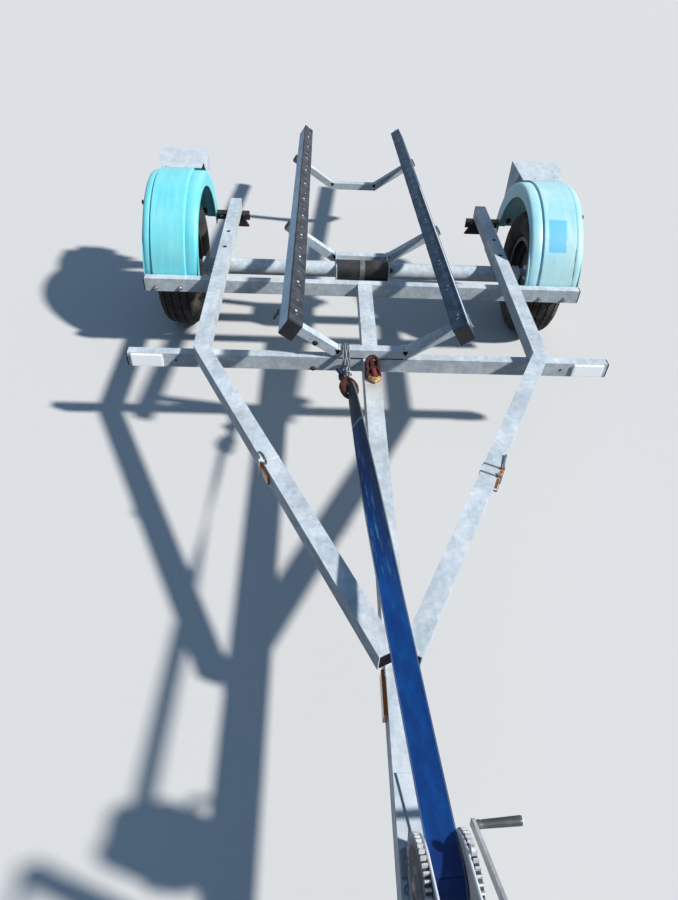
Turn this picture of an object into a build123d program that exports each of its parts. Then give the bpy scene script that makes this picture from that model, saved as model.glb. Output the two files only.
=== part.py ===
from build123d import *
import math
import os

# Boat trailer with a V drawbar frame, three bunk cradles, torsion axle, winch and jockey wheel.
# Millimetres. X to the right, Y towards the rear, Z up from the ground.
# Stations along Y count from the front face of the rear crossbeam.

# frame tubes
FRAME_TOP = 343.0        # top of the crossbeams above the ground
BEAM_DEPTH = 30.0
BEAM_HEIGHT = 50.0
BEAM_WALL = 3.0
REAR_BEAM_LENGTH = 1600.0
FRONT_BEAM_LENGTH = 1520.0
FRONT_BEAM_Y = -457.0
DRAWBAR_WIDTH = 50.0
DRAWBAR_HEIGHT = 60.0
DRAWBAR_WALL = 3.0
DRAWBAR_FRONT_Y = -2120.0
RAIL_INSET = 276.0       # from the rear crossbeam's end to the rail's centre line
RAIL_X = REAR_BEAM_LENGTH / 2 - RAIL_INSET
RAIL_WIDTH = 44.0
RAIL_HEIGHT = 50.0
RAIL_WALL = 2.5
RAIL_BEND_Y = -476.0
RAIL_REAR_Y = 607.0
RAIL_FRONT_Y = -1490.0
RAIL_FRONT_X = 22.0

# axle and wheels
AXLE_Y = 178.0
AXLE_RADIUS = 30.0
AXLE_WALL = 4.0
AXLE_PLATE_THICK = 6.0
AXLE_PLATE_Y = (130.0, 330.0)
AXLE_BOLT_Y = (165.0, 294.0)
ACCESS_HOLE_RADIUS = 8.5
ARM_THICK = 16.0
ARM_WIDTH = 46.0
ARM_GAP = 31.5
SPINDLE_RADIUS = 14.0
WHEEL_Y = 320.0
TYRE_RADIUS = 243.0
TYRE_WIDTH = 145.0
TREAD_WIDTH = 105.0
TREAD_THICK = 21.0
SHOULDER = 35.0
SIDE_BULGE = 53.0
RIM_RADIUS = 127.0
RIM_WIDTH = 104.0
RIM_WALL = 3.0
HUB_RADIUS = 34.0
HUB_FLANGE_RADIUS = 70.0
HUB_LENGTH = 78.0
HUB_CLEARANCE = 0.05
STUD_CIRCLE = 50.0
STUD_COUNT = 4
STUD_RADIUS = 6.0
DISC_FACE = 14.0

# mudguards
GUARD_WIDTH = 200.0
GUARD_OVERHANG = 8.0
GUARD_X = REAR_BEAM_LENGTH / 2 + GUARD_OVERHANG - GUARD_WIDTH / 2
WHEEL_X = GUARD_X + 7.0
AXLE_LENGTH = 2 * (WHEEL_X - TYRE_WIDTH / 2 - ARM_GAP - ARM_THICK)
GUARD_Y = 337.0
GUARD_Z = FRAME_TOP - 55.0
GUARD_RADIUS = 304.0
GUARD_WALL = 4.0
GUARD_FOOT_Z = FRAME_TOP - 45.0
CROWN_WIDTH = 135.0
CROWN_STEP = 6.0
OPENING_RADIUS = 266.0
OPENING_DROP = 10.0
OPENING_BACK = 36.0
FLARE = 10.0             # how far the outer side wall leans out
FLARE_DEPTH = 60.0

# cradles and bunks
CRADLE_TUBE = 30.0
CRADLE_WALL = 2.5
CRADLE_BEND_X = 107.0
CRADLE_ANGLE = 34.0
CRADLE_ARM = 226.0
NOTCH_WIDTH = 15.0
NOTCH_HEIGHT = 9.0
CRADLE_SLOPE = 0.0766
MIDDLE_CRADLE_Y = 271.0
REAR_CRADLE_Y = 1176.0
BUNK_WIDTH = 45.0
BUNK_HEIGHT = 55.0
BUNK_OUT = 199.0
BUNK_FRONT_Y = -568.0
BUNK_REAR_Y = 1600.0
BUNK_SEAT = 0.3

# saddle on the axle tube
SADDLE_WIDTH = 206.0
SADDLE_WALL = 4.0
SADDLE_Y = (135.0, 271.0)
SADDLE_TOP = FRAME_TOP - 5.0
SLEEVE_THICK = 7.0

# winch, strap and what the strap holds
WINCH_X = 18.0
DRUM_Y = -1890.0
DRUM_Z = FRAME_TOP + 145.0
DRUM_RADIUS = 14.0
ROLL_RADIUS = 34.0
STRAP_WIDTH = 48.0
STRAP_THICK = 2.0
GEAR_MODULE = 3.0
GEAR_TEETH = 42
PINION_TEETH = 11
GEAR_FIT = 0.3
PINION_ANGLE = 131.5
GEAR_THICK = 8.0
SIDE_GAP = 52.0
SIDE_THICK = 3.0
SIDE_RADIUS = 62.0
SHAFT_RADIUS = 8.0
SHAFT_FIT = 0.05
CRANK_LENGTH = 150.0
CRANK_ANGLE = -32.0
CRANK_WIDTH = 18.0
CRANK_THICK = 5.0
CRANK_X = 79.0
GRIP_RADIUS = 7.5
GRIP_LENGTH = 72.0
POST_X = 5.0
POST_WIDTH = 40.0
POST_WALL = 4.0
POST_Y = (-1925.0, -1812.0)
BASE_Y = (-1962.0, -1836.0)
BASE_Z = FRAME_TOP + 74.0
HOOK_X = -75.0
HOOK_Y = -693.0
HOOK_Z = FRAME_TOP + 42.0
HOOK_WIRE = 5.0
HOOK_REACH = 88.0
ROPE_RADIUS = 4.5
SHACKLE_X = 5.0
SHACKLE_WIRE = 5.5
SHACKLE_WIDTH = 39.0
SHACKLE_LENGTH = 92.0

# coupling and jockey wheel
BALL_Y = -2200.0
BALL_Z = FRAME_TOP - 30.0
BALL_RADIUS = 25.5
THROAT = 16.0
HEAD_WALL = 5.0
HEAD_BACK_Y = -2065.0
NECK_TOP = BALL_Z + BALL_RADIUS + HEAD_WALL - 4.0
JOCKEY_Y = -2012.0
JOCKEY_RADIUS = 24.0
JOCKEY_WALL = 2.5
JOCKEY_HEIGHT = 280.0    # of the jockey tube above the frame
JOCKEY_TOP = FRAME_TOP + JOCKEY_HEIGHT
JOCKEY_BOTTOM = FRAME_TOP - 63.0
CLAMP_GAP = 6.0
CLAMP_HEIGHT = 50.0
CLAMP_EAR = 34.0
HANDLE_REACH = 100.0
HANDLE_RISE = 66.0
INNER_FIT = 0.05
LEG_HEIGHT = 150.0
LEG_TOP = FRAME_TOP + LEG_HEIGHT
LEG_FOOT = 226.0
CASTER_RADIUS = 100.0
CASTER_WIDTH = 50.0
CASTER_TRAIL = 40.0
FORK_WALL = 4.0
FORK_GAP = 5.5

# lamps and reflectors
BRACKET_HEIGHT = 235.0   # of the lamp bracket's top above the frame
BRACKET_Z = FRAME_TOP + BRACKET_HEIGHT
BRACKET_Y = (434.0, 640.0)
BRACKET_SHIFT = 10.0
BRACKET_WIDTH = 180.0
BRACKET_CORNER = (26.0, 100.0)
BRACKET_WALL = 2.0
BRACKET_DROP = 180.0
LAMP_SIZE = (105.0, 46.0, 92.0)
STAY_Y = (560.0, 600.0)
STAY_WALL = 4.0
STAY_REACH = 54.0        # how far the stay passes under the rail, inwards from its centre line
STAY_X = RAIL_X - STAY_REACH
FRONT_REFLECTOR_WIDTH = 96.0
FRONT_REFLECTOR_INSET = 12.0
FRONT_REFLECTOR_X = (FRONT_BEAM_LENGTH / 2 - FRONT_REFLECTOR_INSET - FRONT_REFLECTOR_WIDTH,
                     FRONT_BEAM_LENGTH / 2 - FRONT_REFLECTOR_INSET)
AMBER_SIZE = (92.0, 34.0, 8.0)
AMBER_RAIL_SIZE = (62.0, 28.0, 7.0)
AMBER_RAIL_Y = -977.0
AMBER_DRAWBAR_Y = -1540.0
PLUG_THICK = 2.0

NOSE_Y = BALL_Y - BALL_RADIUS - HEAD_WALL
RAIL_TOP = FRAME_TOP + RAIL_HEIGHT
AXLE_Z = FRAME_TOP - AXLE_PLATE_THICK - AXLE_RADIUS
BUNK_FALL = math.degrees(math.atan(CRADLE_SLOPE))
LEAN = math.radians(CRADLE_ANGLE)
BUNK_RISE = (BUNK_WIDTH * math.sin(LEAN) + BUNK_HEIGHT * math.cos(LEAN)) / 2
MIDDLE_Y = (NOSE_Y + BUNK_REAR_Y + BUNK_RISE * math.sin(math.radians(BUNK_FALL))) / 2
JOCKEY_X = -(DRAWBAR_WIDTH / 2 + CLAMP_GAP + JOCKEY_RADIUS)


def save(name, shape):
    """Write one node with the origin under the middle of the trailer."""
    export_step(Pos(0, -MIDDLE_Y, 0) * shape, f"parts/{name}.step")


def block(x, y, z):
    """A box from three spans, each a pair of ends."""
    size = (x[1] - x[0], y[1] - y[0], z[1] - z[0])
    centre = ((x[0] + x[1]) / 2, (y[0] + y[1]) / 2, (z[0] + z[1]) / 2)
    return Pos(*centre) * Box(*size)


def rod(start, end, radius):
    """A round bar from start to end."""
    along = Vector(*end) - Vector(*start)
    return Plane(origin=start, z_dir=along) * Pos(0, 0, along.length / 2) * Cylinder(radius, along.length)


def ring(start, end, outer, inner):
    """A round tube from start to end."""
    return rod(start, end, outer) - rod(start, end, inner)


def mitred_outline(points, half):
    """The outline of a band of the given half width along a flat path, with mitred corners."""
    sides = []
    for sign in (1, -1):
        side = []
        for i, point in enumerate(points):
            here = Vector(*point, 0)
            legs = []
            if i > 0:
                legs.append((here - Vector(*points[i - 1], 0)).normalized())
            if i < len(points) - 1:
                legs.append((Vector(*points[i + 1], 0) - here).normalized())
            normals = [Vector(-leg.Y, leg.X, 0) for leg in legs]
            mitre = sum(normals[1:], normals[0]).normalized()
            reach = half / mitre.dot(normals[0])
            corner = here + mitre * (sign * reach)
            side.append((corner.X, corner.Y))
        sides.append(side)
    return sides[0] + sides[1][::-1]


def bent_tube(points, width, height, wall, plane):
    """A rectangular tube bent in a plane: width lies in the plane, height stands out of it."""
    outline = plane * Polygon(*mitred_outline(points, width / 2), align=None)
    hollow = plane.offset(wall) * Polygon(*mitred_outline(points, width / 2 - wall), align=None)
    outer = extrude(outline, height, dir=plane.z_dir)
    return outer - extrude(hollow, height - 2 * wall, dir=plane.z_dir)


def drawbar():
    z = (FRAME_TOP - DRAWBAR_HEIGHT, FRAME_TOP)
    half = DRAWBAR_WIDTH / 2
    tube = block((-half, half), (DRAWBAR_FRONT_Y, 0), z)
    bore = block((-half + DRAWBAR_WALL, half - DRAWBAR_WALL), (DRAWBAR_FRONT_Y - 1, 1),
                 (z[0] + DRAWBAR_WALL, z[1] - DRAWBAR_WALL))
    return tube - bore


def beam(x, y):
    """A crossbeam between two ends, open at both."""
    z = (FRAME_TOP - BEAM_HEIGHT, FRAME_TOP)
    tube = block(x, (y, y + BEAM_DEPTH), z)
    bore = block((x[0] - 1, x[1] + 1), (y + BEAM_WALL, y + BEAM_DEPTH - BEAM_WALL),
                 (z[0] + BEAM_WALL, z[1] - BEAM_WALL))
    return tube - bore


def front_crossbeam():
    """Two half beams welded to the sides of the drawbar."""
    return pair(beam((DRAWBAR_WIDTH / 2, FRONT_BEAM_LENGTH / 2), FRONT_BEAM_Y))


def rail_axis(side):
    """The path of a rail's centre line seen from above, rear to front."""
    return [(side * RAIL_X, RAIL_REAR_Y), (side * RAIL_X, RAIL_BEND_Y), (side * RAIL_FRONT_X, RAIL_FRONT_Y)]


def rail(side):
    """A side rail, straight at the rear, then in to the drawbar, with holes over the axle bolts."""
    tube = bent_tube(rail_axis(side), RAIL_WIDTH, RAIL_HEIGHT, RAIL_WALL, Plane.XY.offset(FRAME_TOP))
    far = (0.5, RAIL_X + 100) if side > 0 else (-RAIL_X - 100, -0.5)
    tube &= block(far, (RAIL_FRONT_Y - 100, RAIL_REAR_Y), (FRAME_TOP, RAIL_TOP))
    for y in AXLE_BOLT_Y:
        tube -= Pos(side * RAIL_X, y, RAIL_TOP) * Cylinder(ACCESS_HOLE_RADIUS, 4 * RAIL_WALL)
    return tube


def axle_tube():
    half = AXLE_LENGTH / 2
    return ring((-half, AXLE_Y, AXLE_Z), (half, AXLE_Y, AXLE_Z), AXLE_RADIUS, AXLE_RADIUS - AXLE_WALL)


def axle_plate():
    """The mounting plate between the axle tube and the right rail."""
    half = RAIL_WIDTH / 2
    return block((RAIL_X - half, RAIL_X + half), AXLE_PLATE_Y, (FRAME_TOP - AXLE_PLATE_THICK, FRAME_TOP))


def swing_arm(side):
    """The trailing arm and the stub axle it carries."""
    x0 = side * AXLE_LENGTH / 2
    x1 = x0 + side * ARM_THICK
    pivot = (AXLE_Y, AXLE_Z)
    hub = (WHEEL_Y, TYRE_RADIUS)
    plane = Plane(origin=(min(x0, x1), 0, 0), x_dir=(0, 1, 0), z_dir=(1, 0, 0))
    outline = make_hull(
        (Pos(*pivot) * Circle(AXLE_RADIUS + 3)).edges() + (Pos(*hub) * Circle(ARM_WIDTH / 2)).edges()
    )
    arm = extrude(plane * outline, ARM_THICK, dir=(1, 0, 0))
    spindle = rod((x1, *hub), (side * (WHEEL_X + HUB_LENGTH / 2 - 6), *hub), SPINDLE_RADIUS)
    return arm + spindle


def tyre(side):
    """A tyre of revolution, open inside down to the rim."""
    half = TYRE_WIDTH / 2
    tread = TREAD_WIDTH / 2
    seat = RIM_WIDTH / 2 - RIM_WALL - 0.3
    bead = RIM_RADIUS + 1.8
    lip = RIM_RADIUS + 15
    r = TYRE_RADIUS
    outer = [(seat, bead), (seat, lip), (seat + 10, lip + 4), (half, r - SIDE_BULGE), (half - 3, r - SHOULDER),
             (tread, r - 6), (tread - 14, r)]
    inner = [(tread - 4, r - TREAD_THICK), (half - 12, r - SIDE_BULGE - 4), (seat - 4, lip + 6),
             (seat - 9, bead + 6), (seat - 9, bead)]
    points = outer + [(-x, r) for x, r in outer[::-1]] + [(-x, r) for x, r in inner[::-1]] + inner
    body = revolve(Polygon(*points, align=None), Axis.X)
    return Pos(side * WHEEL_X, WHEEL_Y, TYRE_RADIUS) * body


def studs(x0, x1, radius):
    """The wheel studs of the right hub as round bars."""
    bars = []
    for i in range(STUD_COUNT):
        turn = math.radians(360 / STUD_COUNT * (i + 0.5))
        at = (WHEEL_Y + STUD_CIRCLE * math.cos(turn), TYRE_RADIUS + STUD_CIRCLE * math.sin(turn))
        bars.append(rod((x0, *at), (x1, *at), radius))
    return bars


def rim(side):
    """A pressed rim: a dropped barrel with flanges and a dished disc drilled for the studs."""
    half = RIM_WIDTH / 2
    w = RIM_WALL
    seat = RIM_RADIUS + 1.5
    drop = RIM_RADIUS - 16
    lip = RIM_RADIUS + 14
    under = [(-half, lip), (-half, seat - w), (20 - half, seat - w), (28 - half, drop - w),
             (half - 32, drop - w), (half - 20, seat - w), (half, seat - w), (half, lip)]
    over = [(half - w, lip), (half - w, seat), (half - 22, seat), (half - 34, drop), (30 - half, drop),
             (22 - half, seat), (w - half, seat), (w - half, lip)]
    barrel = revolve(Polygon(*under, *over, align=None), Axis.X)
    face = DISC_FACE
    foot = drop - w + 0.5
    disc = revolve(Polygon((face, HUB_RADIUS + 1), (face, 66), (face + 10, 82), (face - 4, foot),
                           (face - 4 + w, foot), (face + 10 + w, 80), (face + w, 64),
                           (face + w, HUB_RADIUS + 1), align=None), Axis.X)
    body = Pos(WHEEL_X, WHEEL_Y, TYRE_RADIUS) * (barrel + disc)
    for bar in studs(WHEEL_X, WHEEL_X + half, STUD_RADIUS + 0.5):
        body -= bar
    return mirror(body, Plane.YZ) if side < 0 else body


def hub(side):
    """The turning hub with its wheel flange and studs, bored for the stub axle."""
    flange = WHEEL_X + DISC_FACE
    at = (WHEEL_Y, TYRE_RADIUS)
    body = rod((WHEEL_X - 26, *at), (WHEEL_X + HUB_LENGTH / 2 + 6, *at), HUB_RADIUS - 4)
    body += rod((flange - 8, *at), (flange, *at), HUB_FLANGE_RADIUS)
    body -= rod((WHEEL_X - 27, *at), (WHEEL_X + HUB_LENGTH / 2 - 5, *at), SPINDLE_RADIUS + HUB_CLEARANCE)
    for bar in studs(flange - 1, flange + 22, STUD_RADIUS):
        body += bar
    return mirror(body, Plane.YZ) if side < 0 else body


def guard_profile(grow):
    """The right half of the mudguard's outer profile, as pairs of offset and radius."""
    low = GUARD_RADIUS - CROWN_STEP
    edge = CROWN_WIDTH / 2
    return [(GUARD_WIDTH / 2 + grow, low + grow), (edge + 3 + grow, low + grow), (edge + grow, GUARD_RADIUS + grow)]


def mudguard(side):
    """A moulded arch with a raised crown, down-turned side walls and a foot pad on the crossbeam."""
    half = GUARD_WIDTH / 2
    w = GUARD_WALL
    top = GUARD_RADIUS
    low = top - CROWN_STEP
    edge = CROWN_WIDTH / 2
    outer = guard_profile(0)
    inner = [(edge - 2.5, top - w), (edge + 0.5, low - w), (half, low - w)]
    section = outer + [(-x, r) for x, r in outer[::-1]] + [(-x, r) for x, r in inner[::-1]] + inner
    body = Pos(GUARD_X, GUARD_Y, GUARD_Z) * revolve(Polygon(*section, align=None), Axis.X)
    opening = rod((GUARD_X - half - 1, GUARD_Y - OPENING_BACK, GUARD_Z - OPENING_DROP),
                  (GUARD_X + half + FLARE + 1, GUARD_Y - OPENING_BACK, GUARD_Z - OPENING_DROP), OPENING_RADIUS)
    body += rod((GUARD_X - half, GUARD_Y, GUARD_Z), (GUARD_X - half + w, GUARD_Y, GUARD_Z), low) - opening
    lean = half + FLARE
    flared = revolve(Polygon((half - w, low), (half, low), (lean, low - FLARE_DEPTH), (lean, 0), (lean - w, 0),
                             (lean - w, low - FLARE_DEPTH), align=None), Axis.X)
    body += Pos(GUARD_X, GUARD_Y, GUARD_Z) * flared - opening
    hollow = rod((GUARD_X - half, GUARD_Y, GUARD_Z), (GUARD_X + half, GUARD_Y, GUARD_Z), low - w)
    body += block((GUARD_X - edge + 6, GUARD_X + edge - 6), (BEAM_DEPTH, BEAM_DEPTH + 20),
                  (GUARD_FOOT_Z, FRAME_TOP - 8)) - hollow
    body &= block((GUARD_X - half, GUARD_X + lean), (0, GUARD_Y + top + 1), (GUARD_FOOT_Z, GUARD_Z + top + 1))
    return mirror(body, Plane.YZ) if side < 0 else body


def cradle(y, z):
    """A bent tube cradle: level centre and two rising arms."""
    turn = math.radians(CRADLE_ANGLE)
    reach = CRADLE_ARM * math.cos(turn)
    rise = CRADLE_ARM * math.sin(turn)
    mid = z + CRADLE_TUBE / 2
    points = [(-CRADLE_BEND_X - reach, mid + rise), (-CRADLE_BEND_X, mid),
              (CRADLE_BEND_X, mid), (CRADLE_BEND_X + reach, mid + rise)]
    plane = Plane(origin=(0, y + CRADLE_TUBE, 0), x_dir=(1, 0, 0), z_dir=(0, -1, 0))
    tube = bent_tube(points, CRADLE_TUBE, CRADLE_TUBE, CRADLE_WALL, plane)
    half = NOTCH_WIDTH / 2
    for x in (-CRADLE_BEND_X, CRADLE_BEND_X):
        notch = Polygon((x - half, mid + 6), (x + half, mid + 6), (x, mid + 6 - NOTCH_HEIGHT), align=None)
        face = Plane(origin=(0, y - 1, 0), x_dir=(1, 0, 0), z_dir=(0, -1, 0))
        tube -= extrude(face * notch, CRADLE_WALL + 2, dir=(0, 1, 0))
    return tube


def cradle_base(y):
    """How high a cradle at this station stands, along the fall of the bunks."""
    return FRAME_TOP - CRADLE_SLOPE * (y - FRONT_BEAM_Y)


def bunk(side):
    """A bunk lying on the three cradles, tilted towards the keel line."""
    fall = math.radians(BUNK_FALL)
    turn = math.radians(CRADLE_ANGLE)
    length = (BUNK_REAR_Y - BUNK_FRONT_Y) / math.cos(fall)
    seat_y = FRONT_BEAM_Y + CRADLE_TUBE
    out = BUNK_OUT
    top = CRADLE_TUBE / 2 + BUNK_SEAT + BUNK_HEIGHT / 2
    x = CRADLE_BEND_X + out * math.cos(turn) - top * math.sin(turn)
    z = FRAME_TOP + CRADLE_TUBE / 2 + out * math.sin(turn) + top * math.cos(turn)
    z_front = z + CRADLE_SLOPE * (seat_y - BUNK_FRONT_Y)
    plane = Plane(origin=(x, BUNK_FRONT_Y, z_front), x_dir=(1, 0, 0),
                  z_dir=(0, math.cos(fall), -math.sin(fall)))
    bar = extrude(plane * Rot(0, 0, -CRADLE_ANGLE) * Rectangle(BUNK_WIDTH, BUNK_HEIGHT), length)
    if side < 0:
        bar = mirror(bar, Plane.YZ)
    return bar


def gear(teeth, thick, bore):
    """A spur gear of the winch, along X, with plain sloping teeth."""
    pitch = GEAR_MODULE * teeth / 2
    tip = pitch + GEAR_MODULE
    root = pitch - 1.2 * GEAR_MODULE
    step = 360.0 / teeth
    points = []
    for i in range(teeth):
        for radius, share in ((root, -0.34), (tip, -0.13), (tip, 0.13), (root, 0.34)):
            turn = math.radians(step * (i + share))
            points.append((radius * math.cos(turn), radius * math.sin(turn)))
    face = Polygon(*points, align=None) - Circle(bore)
    plane = Plane(origin=(0, 0, 0), x_dir=(0, 1, 0), z_dir=(1, 0, 0))
    return extrude(plane * face, thick, dir=(1, 0, 0))


def pinion_centre():
    """Where the pinion shaft stands, in mesh with the drum gear."""
    reach = GEAR_MODULE * (GEAR_TEETH + PINION_TEETH) / 2 + GEAR_FIT
    turn = math.radians(PINION_ANGLE)
    return DRUM_Y + reach * math.cos(turn), DRUM_Z + reach * math.sin(turn)


def winch_post():
    """A folded stand on the drawbar, open in front and behind."""
    x = (POST_X - POST_WIDTH / 2, POST_X + POST_WIDTH / 2)
    outer = block(x, POST_Y, (FRAME_TOP, BASE_Z))
    inner = block((x[0] + POST_WALL, x[1] - POST_WALL), (POST_Y[0] - 1, POST_Y[1] + 1),
                  (FRAME_TOP - 1, BASE_Z - POST_WALL))
    return outer - inner


def yawed(shape):
    """Turn a piece of the winch about the drum, in line with the strap."""
    turn = math.degrees(math.atan2(WINCH_X - HOOK_X, HOOK_Y - DRUM_Y))
    return Pos(WINCH_X, DRUM_Y, 0) * Rot(0, 0, turn) * Pos(-WINCH_X, -DRUM_Y, 0) * shape


def winch_frame():
    """A base plate with two rounded side plates, bored for the drum and pinion shafts."""
    half = SIDE_GAP / 2
    outer = half + SIDE_THICK
    body = block((WINCH_X - outer, WINCH_X + outer), BASE_Y, (BASE_Z, BASE_Z + SIDE_THICK))
    pinion = pinion_centre()
    foot = [(BASE_Y[0], BASE_Z), (BASE_Y[1], BASE_Z)]
    edges = (Pos(DRUM_Y, DRUM_Z) * Circle(SIDE_RADIUS)).edges() + (Pos(*pinion) * Circle(22)).edges()
    edges += Line(*foot).edges()
    holes = Pos(DRUM_Y, DRUM_Z) * Circle(SHAFT_RADIUS + SHAFT_FIT)
    holes += Pos(*pinion) * Circle(SHAFT_RADIUS + SHAFT_FIT)
    cheek = make_hull(edges) - holes
    for x in (WINCH_X - outer, WINCH_X + half):
        plane = Plane(origin=(x, 0, 0), x_dir=(0, 1, 0), z_dir=(1, 0, 0))
        body += extrude(plane * cheek, SIDE_THICK, dir=(1, 0, 0))
    return body


def winch_drum():
    """The shaft, core and the two toothed wheels outside the side plates."""
    outer = SIDE_GAP / 2 + SIDE_THICK + 2
    at = (DRUM_Y, DRUM_Z)
    body = rod((WINCH_X - outer - GEAR_THICK - 4, *at), (WINCH_X + outer + GEAR_THICK + 4, *at), SHAFT_RADIUS)
    body += rod((WINCH_X - SIDE_GAP / 2 + 1, *at), (WINCH_X + SIDE_GAP / 2 - 1, *at), DRUM_RADIUS)
    wheel = Rot(PINION_ANGLE, 0, 0) * gear(GEAR_TEETH, GEAR_THICK, SHAFT_RADIUS - 1)
    body += Pos(WINCH_X - outer - GEAR_THICK, *at) * wheel
    body += Pos(WINCH_X + outer, *at) * wheel
    return body


def winch_crank():
    """The crank: its shaft with the small gear on the left, and the flat bar down to the grip."""
    outer = SIDE_GAP / 2 + SIDE_THICK + 2
    at = pinion_centre()
    body = rod((WINCH_X - outer - GEAR_THICK - 4, *at), (CRANK_X, *at), SHAFT_RADIUS)
    turn = PINION_ANGLE + 180 + 180 / PINION_TEETH
    small = Rot(turn, 0, 0) * gear(PINION_TEETH, GEAR_THICK, SHAFT_RADIUS - 1)
    body += Pos(WINCH_X - outer - GEAR_THICK, *at) * small
    bar = Rot(0, 0, CRANK_ANGLE) * Pos(CRANK_LENGTH / 2, 0) * SlotCenterToCenter(CRANK_LENGTH, CRANK_WIDTH)
    plane = Plane(origin=(CRANK_X, *at), x_dir=(0, 1, 0), z_dir=(1, 0, 0))
    return body + extrude(plane * bar, CRANK_THICK, dir=(1, 0, 0))


def grip_end():
    """The centre of the crank's grip, at the bar."""
    y, z = pinion_centre()
    turn = math.radians(CRANK_ANGLE)
    return y + CRANK_LENGTH * math.cos(turn), z + CRANK_LENGTH * math.sin(turn)


def crank_grip():
    at = grip_end()
    start = CRANK_X + CRANK_THICK
    body = rod((start, *at), (start + GRIP_LENGTH, *at), GRIP_RADIUS)
    for i in range(1, 6):
        x = start + i * GRIP_LENGTH / 6
        body -= ring((x - 1, *at), (x + 1, *at), GRIP_RADIUS + 1, GRIP_RADIUS - 1)
    return body


def strap_line():
    """Where the tight run of the strap starts and ends, seen straight along the winch."""
    start = Vector(0, DRUM_Y, DRUM_Z + ROLL_RADIUS - STRAP_THICK / 2)
    reach = math.hypot(WINCH_X - HOOK_X, HOOK_Y - DRUM_Y)
    loop = HOOK_WIRE + STRAP_THICK / 2 + 0.3
    return start, Vector(0, DRUM_Y + reach, HOOK_Z + loop)


def winch_strap():
    """The webbing: a roll on the drum, the tight run and the loop sewn round the hook's bar."""
    span = (WINCH_X - STRAP_WIDTH / 2, WINCH_X + STRAP_WIDTH / 2)
    at = (DRUM_Y, DRUM_Z)
    body = ring((span[0], *at), (span[1], *at), ROLL_RADIUS, DRUM_RADIUS)
    start, end = strap_line()
    along = end - start
    plane = Plane(origin=start + Vector(WINCH_X, 0, 0), x_dir=(1, 0, 0), z_dir=along)
    body += extrude(plane * Rectangle(STRAP_WIDTH, STRAP_THICK), along.length)
    eye = (end.Y, HOOK_Z)
    inner = HOOK_WIRE + 0.3
    return body + ring((span[0], *eye), (span[1], *eye), inner + STRAP_THICK, inner)


def strap_hook():
    """A forged hook: a loop for the webbing, a shank and an open bowl turned down."""
    x = WINCH_X
    y = strap_line()[1].Y
    z = HOOK_Z
    half = STRAP_WIDTH / 2 + 7
    tip = y + HOOK_REACH
    loop = [(x - half, y + 12, z), (x - 10, y + 34, z), (x + 10, y + 34, z), (x + half, y + 12, z)]
    bowl = [(x, y + 30, z), (x, tip - 18, z), (x, tip, z - 8), (x, tip, z - 26), (x, tip - 18, z - 34),
            (x, tip - 32, z - 28)]
    body = sweep_rod([*loop, (x + half, y, z)], HOOK_WIRE) + rod((x - half, y, z), (x + half, y, z), HOOK_WIRE)
    body += rod((x - half, y, z), (x - half, y + 12, z), HOOK_WIRE)
    return body + sweep_rod(bowl, HOOK_WIRE)


def sweep_rod(path, radius):
    """A round bar along a path of points with rounded corners."""
    line = FilletPolyline(*path, radius=8)
    return sweep(Plane(origin=line @ 0, z_dir=line % 0) * Circle(radius), path=line)


def cradle_rope():
    """A rope loop through the hook's bowl and round the front cradle's tube."""
    clear = ROPE_RADIUS + 0.3
    front = FRONT_BEAM_Y - clear
    back = FRONT_BEAM_Y + CRADLE_TUBE + clear
    top = FRAME_TOP + CRADLE_TUBE + clear
    low = FRAME_TOP - BEAM_HEIGHT - clear
    turn = math.atan2(WINCH_X - HOOK_X, HOOK_Y - DRUM_Y)
    reach = strap_line()[1].Y - DRUM_Y + HOOK_REACH - HOOK_WIRE - clear
    x = WINCH_X - reach * math.sin(turn)
    near = DRUM_Y + reach * math.cos(turn)
    side = HOOK_WIRE + clear + 0.7
    bowl = HOOK_Z - 17
    path = [(-side, near, bowl), (side, near, bowl), (side, front + 4, top), (side, back, top),
            (side / 2, back, low), (-side, front, low)]
    points = [(x + dx, y, z) for dx, y, z in path]
    body = rod(points[-1], points[0], ROPE_RADIUS)
    for start, end in zip(points, points[1:]):
        body += rod(start, end, ROPE_RADIUS)
    for point in points:
        body += Pos(*point) * Sphere(ROPE_RADIUS)
    return body


def coupling_head():
    """A pressed head over the end of the drawbar, with the ball throat below its nose."""
    half = DRAWBAR_WIDTH / 2
    outer = half + HEAD_WALL
    z0 = FRAME_TOP - DRAWBAR_HEIGHT
    top = FRAME_TOP + HEAD_WALL
    sleeve = block((-outer, outer), (DRAWBAR_FRONT_Y - 20, HEAD_BACK_Y), (z0 + 12, top))
    sleeve -= block((-half, half), (DRAWBAR_FRONT_Y - 8, HEAD_BACK_Y + 1), (z0, FRAME_TOP))
    shell = BALL_RADIUS + HEAD_WALL
    low = BALL_Z - THROAT
    nose = rod((0, BALL_Y, low), (0, BALL_Y, BALL_Z), shell) + Pos(0, BALL_Y, BALL_Z) * Sphere(shell)
    neck = block((-shell, shell), (BALL_Y, DRAWBAR_FRONT_Y - 10), (BALL_Z - 6, NECK_TOP))
    body = sleeve + nose + neck
    body -= block((-2 * shell, 2 * shell), (BALL_Y - 2 * shell, BALL_Y + 2 * shell), (low - 60, low))
    body -= rod((0, BALL_Y, low - 1), (0, BALL_Y, BALL_Z), BALL_RADIUS)
    return body - Pos(0, BALL_Y, BALL_Z) * Sphere(BALL_RADIUS)


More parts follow.
